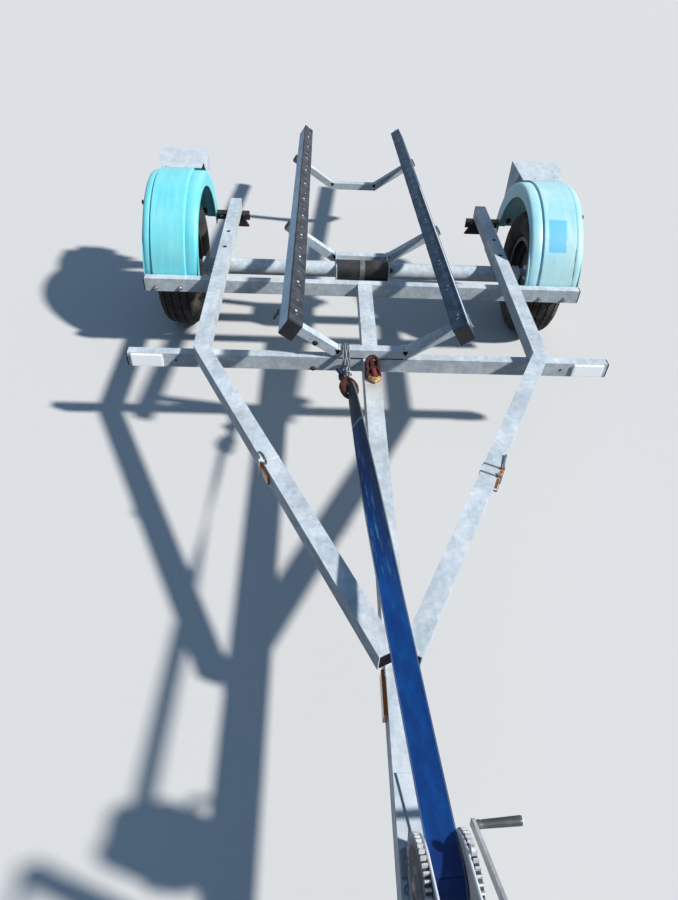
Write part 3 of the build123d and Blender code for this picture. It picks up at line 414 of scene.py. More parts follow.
VECTOR, COLOUR = ("vector", None), ("colour", (1, 1, 1, 1))
GROUPS = (  # name, inputs with their kind and default, outputs with their kind, what fills it
    ("Mottled Zinc", {"Vector": VECTOR, "Spangle": ("value", 90.0), "Light": ("colour", (0.6, 0.64, 0.68, 1)),
                      "Dark": ("colour", (0.3, 0.34, 0.38, 1))},
     {"Colour": "colour", "Roughness": "value", "Height": "value"}, mottled_zinc),
    ("Rust Patches", {"Vector": VECTOR, "Colour": COLOUR, "Amount": ("value", 0.3), "Scale": ("value", 20.0)},
     {"Colour": "colour", "Mask": "value", "Height": "value"}, rust_patches),
    ("Road Dust", {"Vector": VECTOR, "Colour": COLOUR, "Amount": ("value", 0.5), "Top": ("value", 0.5),
                   "Dust": ("colour", (0.34, 0.29, 0.23, 1))},
     {"Colour": "colour", "Mask": "value"}, road_dust),
    ("Soft Box", {"Vector": VECTOR, "Middle": VECTOR, "Half": VECTOR, "Soft": ("value", 0.01),
                  "Ragged": ("value", 0.01)},
     {"Mask": "value"}, soft_box),
    ("Woven Band", {"Vector": VECTOR, "Rib": ("value", 0.004), "Pick": ("value", 0.003), "Edge": ("value", 0.0215),
                    "Deep": ("colour", (0.002, 0.029, 0.14, 1)), "Worn": ("colour", (0.003, 0.060, 0.235, 1)),
                    "Selvedge_And_Highlight": ("colour", (0.30, 0.33, 0.28, 1))},
     {"Colour": "colour", "Height": "value"}, woven_band))


def build_groups():
    """Makes the shader node groups that several surfaces share."""
    for name, inputs, outputs, fill in GROUPS:
        tree = bpy.data.node_groups.new(name, "ShaderNodeTree")
        for label, (kind, default) in inputs.items():
            socket = tree.interface.new_socket(name=label, in_out="INPUT", socket_type=SOCKETS[kind])
            if default is not None:
                socket.default_value = default
        for label, kind in outputs.items():
            tree.interface.new_socket(name=label, in_out="OUTPUT", socket_type=SOCKETS[kind])
        entry = tree.nodes.new("NodeGroupInput")
        leave = tree.nodes.new("NodeGroupOutput")
        for label, result in zip(outputs, fill(Nodes(tree), entry.outputs)):
            tree.links.new(result, leave.inputs[label])


def surface(name, build, **constants):
    """A Principled material: build gets the tree and coordinates, and returns colour, roughness and bump."""
    made = bpy.data.materials.new(name)
    made.use_nodes = True
    n = Nodes(made.node_tree)
    shader = n.tree.nodes["Principled BSDF"]
    for label, value in constants.items():
        shader.inputs[label.replace("_", " ")].default_value = value
    colour, rough, height, strength, depth = build(n, n.add("TexCoord").outputs)
    n.feed(shader.inputs["Base Color"], colour)
    n.feed(shader.inputs["Roughness"], rough)
    bump = n.add("Bump", {"Height": height, "Strength": strength, "Distance": depth})
    n.feed(shader.inputs["Normal"], bump.outputs[0])
    return made


def galvanised(light, dark, rust=0.12, spangle=90.0, stains=()):
    """A zinc-coated tube, with dust low down, a few rust specks and stains in given boxes."""
    def build(n, place):
        at = place["Object"]
        zinc = n.use("Mottled Zinc", at, Light=(*light, 1), Dark=(*dark, 1), Spangle=spangle)
        colour = n.use("Rust Patches", at, Colour=zinc["Colour"], Amount=rust, Scale=13.0)["Colour"]
        for middle, half, soft, tint, amount in stains:
            mask = n.use("Soft Box", at, Middle=middle, Half=half, Soft=soft, Ragged=soft)["Mask"]
            cloud = n.span(n.noise(at, 55.0, 6.0, 0.7), 0.25, 0.75)
            colour = n.mix(n.times(mask, cloud, amount, clamp=True), colour, (*tint, 1))
        dusty = n.use("Road Dust", at, Colour=colour, Amount=0.35, Top=0.6)
        return dusty["Colour"], zinc["Roughness"], zinc["Height"], 0.25, 0.0006
    return build


def plain_coat(light, dark, rough, scale=12.0, grain=300.0, rust=0.0, dust=0.3, strength=0.2, depth=0.0005):
    """A coat whose colour drifts in clouds, with a fine grain, rust and dust."""
    def build(n, place):
        at = place["Object"]
        cloud = n.span(n.noise(at, scale, 6.0, 0.6), 0.3, 0.7)
        colour = n.mix(cloud, (*dark, 1), (*light, 1))
        height = n.noise(at, grain, 3.0)
        roughness = n.span(cloud, 0.0, 1.0, rough + 0.1, rough)
        if rust:
            rusty = n.use("Rust Patches", at, Colour=colour, Amount=rust, Scale=26.0)
            colour = rusty["Colour"]
            roughness = n.plus(roughness, n.times(rusty["Mask"], 0.25))
            height = n.plus(height, n.times(rusty["Height"], 1.4))
        if dust:
            colour = n.use("Road Dust", at, Colour=colour, Amount=dust, Top=0.6)["Colour"]
        return colour, roughness, height, strength, depth
    return build


def guard_plastic(light, dark, marks=()):
    """Moulded plastic faded by the sun: streaks along the arch, pale bloom, and marks in given boxes."""
    def build(n, place):
        at = place["Object"]
        cloud = n.span(n.noise(at, 7.0, 6.0, 0.62), 0.3, 0.72)
        streak = n.span(n.noise(at, 8.0, 5.0, 0.65, (7, 0.7, 0.7)), 0.35, 0.75)
        fade = n.plus(n.times(cloud, 0.55), n.times(streak, 0.45))
        colour = n.mix(fade, (*dark, 1), (*light, 1))
        for middle, half, soft, ragged, tint, share in marks:
            mask = n.use("Soft Box", at, Middle=middle, Half=half, Soft=soft, Ragged=ragged)["Mask"]
            colour = n.mix(n.times(mask, share), colour, (*tint, 1))
        colour = n.use("Road Dust", at, Colour=colour, Amount=0.35, Top=0.5)["Colour"]
        return colour, n.span(fade, 0.0, 1.0, 0.38, 0.52), n.noise(at, 240.0, 3.0), 0.12, 0.0004
    return build


def wheel_paint(light, dark, painted_shade_colour):
    """Silver paint outside; behind it, nearer the middle of the trailer, the rim turns near black: painted shade for
    the inside of the wheel.
    """
    def build(n, place):
        colour, *rest = plain_coat(light, dark, 0.42, 9.0, 200.0, 0.14, 0.4)(n, place)
        out = n.math("ABSOLUTE", n.axes(place["Object"])[0])
        painted_inner_shade = n.times(n.span(out, 0.716, 0.700), n.span(out, 0.20, 0.30))
        return n.mix(painted_inner_shade, colour, (*painted_shade_colour, 1)), *rest
    return build


def banded(n, place):
    """Webbing on the piece's own UV map."""
    band = n.use("Woven Band", place["UV"])
    return band["Colour"], 0.5, band["Height"], 0.3, 0.0005


def twisted_cord(light, dark, pitch):
    """Laid rope on the piece's own UV map: slanting strands, pale on top, with painted shade dark between them."""
    def build(n, place):
        around, along, _ = n.axes(place["UV"])
        slant = n.plus(n.times(around, 18.85), n.times(along, FULL_TURN / pitch))
        strand = n.math("ABSOLUTE", n.math("SINE", n.times(slant, 0.5)))
        # dark between the strands: painted shade in the grooves
        colour = n.mix(strand, (*dark, 1), (*light, 1))
        colour = n.mix(n.times(n.noise(place["Object"], 260.0, 4.0), 0.4), colour, (*dark, 1))
        return colour, 0.85, strand, 0.8, 0.001
    return build


def lens(tint, deep, cell):
    """A moulded lens: small square prisms under a smooth face."""
    def build(n, place):
        x, y, z = (n.math("ABSOLUTE", n.math("SINE", n.times(way, math.pi / cell))) for way in n.axes(place["Object"]))
        prism = n.times(n.math("MAXIMUM", x, y), z)
        return n.mix(prism, (*deep, 1), (*tint, 1)), 0.18, prism, 0.25, 0.0006
    return build


Y0 = ORIGIN[1]  # stains and marks are placed in metres, in the frame's own coordinates
STAINS = (  # middle, half size, softness, tint, share
    ((0.004, Y0 - 0.565, 0.343), (0.016, 0.028, 0.02), 0.025, (0.34, 0.20, 0.10), 0.7),
    ((0.0, Y0 - 0.62, 0.343), (0.03, 0.06, 0.02), 0.05, (0.72, 0.62, 0.44), 0.45))
MARKS = (  # middle, half size, softness, raggedness, tint, share
    ((0.7055, Y0 + 0.1225, 0.4955), (0.031, 0.0415, 0.0415), 0.004, 0.008, (0.08, 0.50, 0.76), 0.85),
    ((0.777, Y0 + 0.0715, 0.414), (0.0014, 0.026, 0.045), 0.002, 0.006, (0.05, 0.12, 0.17), 0.8))
ZINC = (0.70, 0.75, 0.78), (0.37, 0.44, 0.50)
DULL = {"Metallic": 0.0, "Specular_IOR_Level": 0.2}
LOW_SHEEN = {"Specular_IOR_Level": 0.25}
ZINC_COATS = (  # finish, its full name, light and dark tone, rust, spangle, stains, the shader's own values
    ("galvanised", "galvanised tube", (*ZINC,), DULL),
    ("drawbar", "galvanised drawbar", (*ZINC, 0.14, 90.0, STAINS), DULL),
    ("sheet", "galvanised sheet", ((0.67, 0.72, 0.76), (0.45, 0.51, 0.56), 0.05, 120.0), DULL),
    ("zinc", "zinc plate", ((0.70, 0.71, 0.72), (0.36, 0.38, 0.40), 0.24, 200.0), {"Metallic": 0.2}),
    ("bright_zinc", "bright zinc", ((0.78, 0.79, 0.80), (0.60, 0.62, 0.64), 0.04, 260.0), {"Metallic": 0.1}),
    ("weld", "weld bead", ((0.66, 0.68, 0.69), (0.36, 0.39, 0.42), 0.2, 260.0), DULL))
PLAIN_COATS = (  # finish, full name, (light, dark, roughness, cloud scale, grain, rust, dust, bump, its depth), values
    ("brass", "stained brass", ((0.66, 0.47, 0.22), (0.24, 0.11, 0.04), 0.45, 70, 300, 0.25, 0.05), {"Metallic": 0.2}),
    ("grip", "ribbed grip", ((0.075, 0.09, 0.10), (0.025, 0.03, 0.034), 0.4, 30, 300, 0, 0.05), {}),
    ("bolt", "bolt steel", ((0.42, 0.42, 0.41), (0.18, 0.17, 0.16), 0.42, 60, 500, 0.3), {"Metallic": 0.7}),
    ("dark_steel", "dark steel", ((0.20, 0.26, 0.32), (0.09, 0.12, 0.155), 0.5, 18, 260, 0.08), DULL),
    # painted shade: a dull dark steel for the shaded left face of the winch gear
    ("painted_shade_steel", "dull steel, painted shade", ((0.30, 0.30, 0.32), (0.17, 0.17, 0.19), 0.5, 30, 260, 0.08), DULL),
    ("rust", "rusted steel", ((0.085, 0.023, 0.020), (0.022, 0.007, 0.008), 0.62, 75, 190, 0.08, 0, 0.7, 0.0014),
     LOW_SHEEN),
    ("red_rust", "red lead", ((0.26, 0.035, 0.03), (0.10, 0.015, 0.014), 0.5, 60, 190, 0.1, 0, 0.5, 0.001), {}),
    # painted shade: a near-black finish for slabs set where only shade falls
    ("painted_shade_black", "black painted shade", ((0.012, 0.013, 0.018), (0.005, 0.006, 0.010), 0.9, 60, 200, 0, 0),
     {"Specular_IOR_Level": 0.1}),
    # grease, also used as painted shade on the winch gear
    ("grease_and_painted_shade", "grease and painted shade", ((0.05, 0.058, 0.072), (0.016, 0.019, 0.026), 0.6, 30, 200, 0, 0.1), LOW_SHEEN),
    ("tie", "cable tie", ((0.16, 0.175, 0.19), (0.07, 0.08, 0.09), 0.5, 40, 300), {}),
    ("tyre", "tyre rubber", ((0.034, 0.034, 0.036), (0.012, 0.012, 0.013), 0.75, 22, 260, 0, 0.28, 0.35), LOW_SHEEN),
    ("board", "bunk board", ((0.80, 0.87, 0.93), (0.62, 0.71, 0.80), 0.6, 14, 160, 0, 0.1, 0.4),
     {"Specular_IOR_Level": 0.2}),
    ("cover", "bunk cover", ((0.048, 0.058, 0.076), (0.014, 0.018, 0.027), 0.65, 26, 120, 0, 0.12, 0.6, 0.001),
     LOW_SHEEN),
    # painted shade: the black bunk cover turned bluer, for the right bunk's top that faces away from the key light
    ("cover_painted_shade", "bunk cover, painted shade", ((0.040, 0.092, 0.170), (0.015, 0.036, 0.070), 0.65, 26, 120, 0, 0.05, 0.6,
                                       0.001), LOW_SHEEN),
    ("black_plastic", "black plastic", ((0.024, 0.026, 0.030), (0.009, 0.010, 0.012), 0.5, 18, 320, 0, 0.06),
     LOW_SHEEN),
    ("black_rubber", "black rubber", ((0.026, 0.029, 0.034), (0.008, 0.009, 0.011), 0.6, 20, 220, 0, 0.1),
     {"Specular_IOR_Level": 0.3}),
    ("pale_edge", "pale trim", ((0.72, 0.75, 0.78), (0.52, 0.56, 0.60), 0.5, 20, 200, 0, 0.05), {}),
    ("staple", "staple wire", ((0.72, 0.73, 0.74), (0.45, 0.45, 0.46), 0.35, 80, 400), {"Metallic": 0.6}))
OTHER_FINISHES = (  # finish, its full name, what builds it, the shader's own values
    # the rim's third colour is painted shade for its inner side
    ("rim", "wheel paint", wheel_paint((0.58, 0.59, 0.60), (0.40, 0.41, 0.42), (0.035, 0.032, 0.030)), DULL),
    ("guard", "guard plastic", guard_plastic((0.27, 0.75, 0.75), (0.10, 0.62, 0.74)), {}),
    ("guard_right", "guard plastic, patched", guard_plastic((0.58, 0.80, 0.76), (0.30, 0.65, 0.75), MARKS), {}),
    ("webbing", "webbing", banded, {"Specular_IOR_Level": 0.15}),
    ("rope", "grey rope", twisted_cord((0.46, 0.50, 0.52), (0.16, 0.18, 0.20), 0.02), {}),
    ("dark_rope", "dark rope", twisted_cord((0.075, 0.09, 0.10), (0.015, 0.02, 0.025), 0.016), {}),
    ("navy_rope", "navy rope", twisted_cord((0.013, 0.019, 0.066), (0.003, 0.005, 0.016), 0.012), {}),
    ("red_lens", "red lens", lens((0.50, 0.02, 0.015), (0.22, 0.006, 0.006), 0.0035), {"Coat_Weight": 0.6}),
    ("amber_lens", "amber lens", lens((0.66, 0.19, 0.025), (0.36, 0.08, 0.01), 0.0035), {"Coat_Weight": 0.15}),
    # the white lens glows a little: painted light, for the bright return of the reflectors
    ("white_lens_painted_glow", "white lens", lens((0.92, 0.93, 0.93), (0.80, 0.82, 0.84), 0.0040),
     {"Coat_Weight": 0.6, "Emission_Color": (0.95, 0.98, 1.0, 1), "Emission_Strength": 0.22}))
MATERIALS = {}


def build_surfaces():
    """Every finish on the trailer, by its plain name."""
    rows = [(key, name, galvanised(*values), own) for key, name, values, own in ZINC_COATS]
    rows += [(key, name, plain_coat(*values), own) for key, name, values, own in PLAIN_COATS]
    for key, name, build, own in (*rows, *OTHER_FINISHES):
        MATERIALS[key] = surface(name, build, **own)


# ---------------------------------------------------------------- pieces


def piece(name, shape, material, body="frame", sharp=35.0, uv=None, bevel=0.0):
    """Makes a mesh piece in metres, gives it its finish, and lets it ride on a body."""
    verts, quads, tris = shape
    mesh = bpy.data.meshes.new(name)
    mesh.from_pydata((verts * MM + ORIGIN).tolist(), [], quads.tolist() + tris.tolist())
    mesh.polygons.foreach_set("use_smooth", np.full(len(mesh.polygons), True))
    if sharp:
        mesh.set_sharp_from_angle(angle=math.radians(sharp))
    if uv is not None:
        layer = mesh.uv_layers.new(name="band")
        index = np.zeros(len(mesh.loops), int)
        mesh.loops.foreach_get("vertex_index", index)
        layer.data.foreach_set("uv", uv[index].astype(np.float32).ravel())
    mesh.materials.append(MATERIALS[material])
    made = bpy.data.objects.new(name, mesh)
    bpy.context.scene.collection.objects.link(made)
    if bevel:
        rounding = made.modifiers.new("rounded edges", "BEVEL")
        rounding.width = bevel * MM
        rounding.segments = 2
        rounding.limit_method = "ANGLE"
    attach(made, body)
    return made


class TrailerSizes(bpy.types.PropertyGroup):
    """Sizes that follow the CAD frame."""
    guard_groove: FloatProperty(name="Guard groove", description="Depth of the grooves beside the crown in mm",
                                default=2.6, min=0.0)
    groove_count: IntProperty(name="Tread zigzags", description="Zigzags of the tread round the tyre", default=54,
                              min=8)
    tread_depth: FloatProperty(name="Tread depth", description="Depth of the tread grooves in mm", default=6.0, min=0.0)
    staple_gap: FloatProperty(name="Staple spacing", description="Distance between staples on the bunks in mm",
                              default=96.0, min=10.0)
    strap_width: FloatProperty(name="Strap width", description="Width of the webbing in mm", default=48.0, min=5.0)


class StageLook(bpy.types.PropertyGroup):
    """Light, floor and camera."""
    sun_strength: FloatProperty(name="Sun strength", description="Strength of the key light", default=4.9, min=0.0)
    sky_strength: FloatProperty(name="Sky strength", description="Strength of the soft light all round", default=0.33,
                                min=0.0)
    floor_colour: FloatVectorProperty(name="Floor colour", description="Colour of the floor", subtype="COLOR", size=3,
                                      default=(0.62, 0.61, 0.59), min=0.0, max=1.0)
    bounce_colour: FloatVectorProperty(name="Bounce colour", subtype="COLOR", size=3,
                                       description="Colour of the light that the floor throws back",
                                       default=(0.10, 0.095, 0.09), min=0.0, max=1.0)
    sky_colour: FloatVectorProperty(name="Sky colour", description="Colour of the soft light all round",
                                    subtype="COLOR", size=3, default=(0.37, 0.62, 1.0), min=0.0, max=1.0)
    sun_way: FloatVectorProperty(name="Sun direction", description="The way the key light falls", subtype="DIRECTION",
                                 size=3, default=(-1.05, 0.39, -1.0))
    camera_place: FloatVectorProperty(name="Camera place", description="Where the camera stands", subtype="TRANSLATION",
                                      size=3, default=(-0.1768, ORIGIN[1] - 2.1133, 1.5332))
    camera_turn: FloatVectorProperty(name="Camera turn", size=3,
                                     description="Pitch down, yaw to the right and roll, in degrees",
                                     default=(43.812, 3.205, 3.363))
    focal_share: FloatProperty(name="Focal share", description="Focal length as a share of the picture's height",
                               default=643.24 / 900, min=0.1)


# the right mudguard: its arch's centre, its crown's radius, half its width, the flare of its outer wall, its
# thickness, and where the opening's circle lies from that centre, with its radius
GUARD_X, GUARD_Y, GUARD_Z = 708.0, 337.0, 288.0
GUARD_CROWN, GUARD_HALF, GUARD_FLARE, GUARD_SHEET = 304.0, 100.0, 10.0, 3.2
OPENING_STEP, OPENING_R = np.array([36.0, 10.0]), 266.0
WHEEL_X, WHEEL_Y, TYRE_R = 715.0, 320.0, 243.0
AXLE_Y, AXLE_Z = 178.0, 307.0
# the frame: its top, half its square bars, the front face of the front crossbeam, and the right rail's line
FRAME_TOP, HALF_BAR, FRONT_BEAM, RAIL_X = 343.0, 15, -457.0, 524.0
RAIL_FRONT, RAIL_BEND = np.array([22.0, -1490.0, 368.0]), np.array([RAIL_X, -476.0, 368.0])
RAIL_RUN = unit(RAIL_BEND - RAIL_FRONT)
RAIL_OUT = np.array([RAIL_RUN[1], -RAIL_RUN[0], 0])
# the boat support: its fall towards the rear, the arms' lean, bend and length, and each cradle's front and underside
SLOPE = 0.0766
LEAN, FALL = math.radians(34), math.atan(SLOPE)
BEND, ARM = 107, 226.0
CRADLES = [(y, FRAME_TOP - SLOPE * (y - FRONT_BEAM)) for y in (FRONT_BEAM, 271.0, 1176.0)]
BUNK_FRONT, BUNK_REAR, BUNK_OUT = -568.0, 1600.0, 199.0
BUNK_CLEAR, HALF_BOARD, COVER = 0.3, 27.5, 3.2
# the winch: its drum, the hook, the strap's length and yaw between them, and its pinion and grip across the drum
DRUM = np.array([18.0, -1890.0, 488.0])
HOOK = np.array([-75.0, -693.0, 385.0])
STRAP_REACH = math.hypot(HOOK[0] - DRUM[0], HOOK[1] - DRUM[1])
YAW = math.atan2(DRUM[0] - HOOK[0], HOOK[1] - DRUM[1])
PINION_WAY, PINION_AWAY = math.radians(131.5), 79.8
CRANK_WAY, CRANK_ARM = math.radians(-32), 150
PINION = DRUM[1:] + PINION_AWAY * np.array([math.cos(PINION_WAY), math.sin(PINION_WAY)])
GRIP = PINION + CRANK_ARM * np.array([math.cos(CRANK_WAY), math.sin(CRANK_WAY)])
COUPLING_Y, JOCKEY_X, JOCKEY_Y = -2200, -55, -2012
JOCKEY_AXLE = (JOCKEY_X, -1972, 100)


def guard_shell(groove):
    """The right mudguard as a surface of arc angle and a path across it.

    Across: up the inner wall from the wheel opening, round the shoulder, over the crown between two grooves,
    and down the outer wall. The opening's edge is where a ray from the arch's centre meets a second circle:
    r = -c.d + sqrt((c.d)^2 - |c|^2 + R^2), with c the step between the centres and d the ray.
    """
    angle = np.linspace(math.radians(1.9), math.radians(178.1), 150)
    ray = np.stack([-np.cos(angle), np.sin(angle)], -1)
    along = ray @ OPENING_STEP
    opening = -along + np.sqrt(along**2 - OPENING_STEP @ OPENING_STEP + OPENING_R**2)
    shoulder = np.array([(-100.0, -24.0), (-99.0, -17.0), (-96.4, -11.6), (-92.0, -8.0), (-86.0, -6.2)])
    inner = np.array([(-72.0, -5.9), (-58.0, -6.0), (-54.6, -groove - 5.6), (-52.4, -groove - 3.2), (-50.6, 0.0),
                      (-48.0, 0.3), (-44.0, 0.1)])
    flat = np.array([(-30.0, 0.35), (-10.0, 0.5), (9.0, 0.5), (28.0, 0.45), (46.0, 0.3)])
    outer = np.array([(60.5, 0.1), (64.0, 0.3), (66.5, 0.0), (68.2, -groove - 3.2), (70.4, -groove - 5.6), (73.0, -6.0),
                      (79.0, -5.9)])
    across = np.concatenate([shoulder, inner, flat, outer, shoulder[::-1] * (-1, 1)])
    radius = np.broadcast_to(GUARD_CROWN + across[:, 1], (len(angle), len(across)))
    wall = np.linspace(0, 1, 6)[:-1]
    edge = GUARD_CROWN + across[0, 1]
    rim = opening[:, None] * (1 - wall) + edge * wall
    radius = np.concatenate([rim, radius, rim[:, ::-1]], 1)
    x = np.broadcast_to(np.pad(across[:, 0], len(wall), "edge"), radius.shape)
    x = x + np.clip((edge - radius) / 50.0, 0, 1) * (x >= GUARD_HALF) * GUARD_FLARE
    points = np.stack([x + GUARD_X, GUARD_Y + radius * ray[:, :1], GUARD_Z + radius * ray[:, 1:]], -1)
    radius = radius - GUARD_SHEET * (abs(x) < GUARD_HALF - 0.1)
    inside = np.stack([x - GUARD_SHEET * np.clip(x / 90.0, -1, 1) + GUARD_X, GUARD_Y + radius * ray[:, :1],
                       GUARD_Z + radius * ray[:, 1:]], -1)
    loop = np.concatenate([points, inside[:, ::-1]], 1)
    verts, quads, tris = grid(loop, around=True)
    return outward(verts, np.concatenate([quads, close_ends(loop)]), tris)


def close_ends(loop):
    """Closes the two ends of a shell whose rows are an outer path and its inner copy."""
    rows, columns = loop.shape[:2]
    index = np.arange(rows * columns).reshape(rows, columns)
    ends = []
    for row, flip in ((index[0], 1), (index[-1], -1)):
        outer, inner = row[:columns // 2], row[columns // 2:][::-1]
        ends.append(np.stack([outer[:-1], inner[:-1], inner[1:], outer[1:]], -1)[:, ::flip])
    return np.concatenate(ends)


class TRAILER_OT_guards(bpy.types.Operator):
    """Moulds the two mudguards and sets their fixings"""
    bl_idname = "trailer.guards"
    bl_label = "Mudguards"

    def execute(self, context):
        shell = guard_shell(context.scene.trailer_sizes.guard_groove)
        foot = box_shape((GUARD_X - 61, 30, 298), (GUARD_X + 61, 46, 334))
        for name, side, material in (("left", -1, "guard"), ("right", 1, "guard_right")):
            made = piece(f"{name}_guard_shell", sided(shell, side), material, sharp=50)
            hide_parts(f"{name}_mudguard")
            pad = piece(f"{name}_guard_foot", sided(foot, side), material, bevel=2.0)
        fixing = join(pan_head((GUARD_X + 106, 215, 530), RIGHT, 9.0), pan_head((668, 632.5, 322), AHEAD, 13.0))
        piece("guard_fixings", both(fixing), "black_plastic")
        return {"FINISHED"}


def tyre_surface(depth, zigzags):
    """A tyre: columns across the tread sit on the groove walls and swing with a triangle wave round it.

    Radius = the smooth section's radius minus depth in the grooves; every zigzag has two notches in the shoulders.
    """
    rows_each = 6
    count = zigzags * rows_each
    row = np.arange(count)
    wave = 4 * np.abs((row / rows_each) % 1 - 0.5) - 1
    side = np.array([(45.5, 128.8), (48.0, 134.0), (47.5, 141.0), (54.0, 146.0), (62.0, 156.0), (69.0, 171.0),
                     (72.2, 187.0), (72.5, 196.0), (71.6, 206.0), (71.9, 208.0), (70.0, 216.0), (66.0, 224.0),
                     (61.0, 230.5), (56.0, 234.5)])
    walls = np.array([12.5, 13.5, 18, 19, 40.5, 41.5, 45, 46.0])
    walls = np.concatenate([-walls[::-1], walls])
    crown = np.stack([walls, TYRE_R - 5.2 * (np.abs(walls) / 52.5) ** 2.4], -1)
    outer = np.concatenate([side * (-1, 1), crown, side[::-1]])
    groove = np.pad(np.tile([0, 1, 1, 0], 4), len(side)) * depth
    sway = np.pad(np.full(8, 2.6), len(side) + 4)
    notch = (row % (rows_each // 2) == 0)[:, None] * (np.abs(np.abs(outer[:, 0]) - 52) < 9.5) * 3.4
    inner = np.array([(36.5, 128.8), (36.5, 134.8), (41.0, 147.0), (58.0, 178.0), (52.0, 219.0), (20.0, 222.0)])
    inner = np.broadcast_to(np.concatenate([inner, inner[::-1] * (-1, 1)]), (count, 12, 2))
    x = np.concatenate([outer[:, 0] + sway * wave[:, None], inner[..., 0]], 1)
    radius = np.concatenate([outer[:, 1] - groove - notch, inner[..., 1]], 1)
    return wheel_grid(x, radius)


def wheel_grid(x, radius):
    """A ring about the x axis from a table of (x, radius): y = radius * cos, z = radius * sin, one row an angle."""
    angle = np.linspace(0, 2 * np.pi, len(x), endpoint=False)[:, None]
    return grid(np.stack([x, radius * np.cos(angle), radius * np.sin(angle)], -1), around=True, along=True)


class TRAILER_OT_wheels(bpy.types.Operator):
    """Cuts the road tyres' tread and sets the wheel nuts, caps and valves"""
    bl_idname = "trailer.wheels"
    bl_label = "Wheels"

    def execute(self, context):
        sizes = context.scene.trailer_sizes
        verts, quads, tris = tyre_surface(sizes.tread_depth, sizes.groove_count)
        middle = np.array([WHEEL_X, WHEEL_Y, TYRE_R])
        turns = [math.radians(90 * (k + 0.5)) for k in range(4)]
        nuts = [hex_bolt(middle + (17, 50 * math.cos(a), 50 * math.sin(a)), RIGHT, 10.5, 6.0, False) for a in turns]
        cap = lathe([(40, 29), (45, 30), (56, 27), (60, 20), (61, 6)], middle, RIGHT, 32)
        valve = lathe([(0, 5.5), (6, 5.5), (8, 3.6), (26, 3.4), (27, 2.6)], middle + (28, 30, 96), (1, 0.1, 0.3), 14)
        for name, body, side in (("left", "left_wheel", -1), ("right", "right_wheel", 1)):
            made = piece(f"{name}_tyre_tread", (verts + middle * (side, 1, 1), quads, tris), "tyre", body, sharp=30)
            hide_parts(f"{name}_tyre")
            piece(f"{name}_wheel_nuts", sided(join(*nuts), side), "bolt", body)
            piece(f"{name}_hub_cap", sided(cap, side), "zinc", body)
            piece(f"{name}_valve", sided(valve, side), "black_rubber", body)
        return {"FINISHED"}


def arm_point(y, base, reach, out=0.0):
    """A point of a right cradle arm: reach along its middle line from the bend, out along its upper normal."""
    x = BEND + reach * math.cos(LEAN) - out * math.sin(LEAN)
    return np.array([x, y, base + HALF_BAR + reach * math.sin(LEAN) + out * math.cos(LEAN)])


def bunk_frame():
    """The right bunk's run, its width direction and its upward normal: up = wide x run, wide = run x up."""
    run = np.array([0, math.cos(FALL), -math.sin(FALL)])
    up = np.cross((math.cos(LEAN), 0, math.sin(LEAN)), run)
    return run, unit(np.cross(run, up)), up


def bunk_centre():
    """The middle line of the right bunk at its front end, over the cradle arms' upper face."""
    base = FRAME_TOP + SLOPE * (FRONT_BEAM + 2 * HALF_BAR - BUNK_FRONT)
    return arm_point(BUNK_FRONT, base, BUNK_OUT, HALF_BAR + BUNK_CLEAR + HALF_BOARD)


def bunk_cover(length):
    """A rubber strip on the bunk: width 47, thickness 3, its edges waving a little and turned down."""
    run, wide, up = bunk_frame()
    start = bunk_centre() + up * HALF_BOARD
    along = np.linspace(-2, length + 2, 140)
    half = np.array([(0, COVER), (12, 3.0), (23, 2.4), (24, 0), (23.5, -7), (22.6, -7), (22.4, -0.4), (0, -0.4)])
    outline = np.concatenate([half, half[-2:0:-1] * (-1, 1)])
    wave = 0.5 * np.sin(along * 0.041) + 0.35 * np.sin(along * 0.113 + 1)
    s = outline[:, 0] + wave[:, None] * 0.4
    t = outline[:, 1] + 0.35 * np.sin(along * 0.065)[:, None] * (outline[:, 1] > 0)
    points = start + along[:, None, None] * run + s[..., None] * wide + t[..., None] * up
    return grid(points, around=True, caps=True)


def staple(at, along, up, length=9.0):
    """A wire staple: a flat bridge with both ends turned down."""
    ends = ((-0.5, -1.5), (-0.5, 0.9), (0.5, 0.9), (0.5, -1.5))
    path = [at + along * length * share + up * height for share, height in ends]
    return sweep(path, circle(0.9, 5), np.cross(along, up))


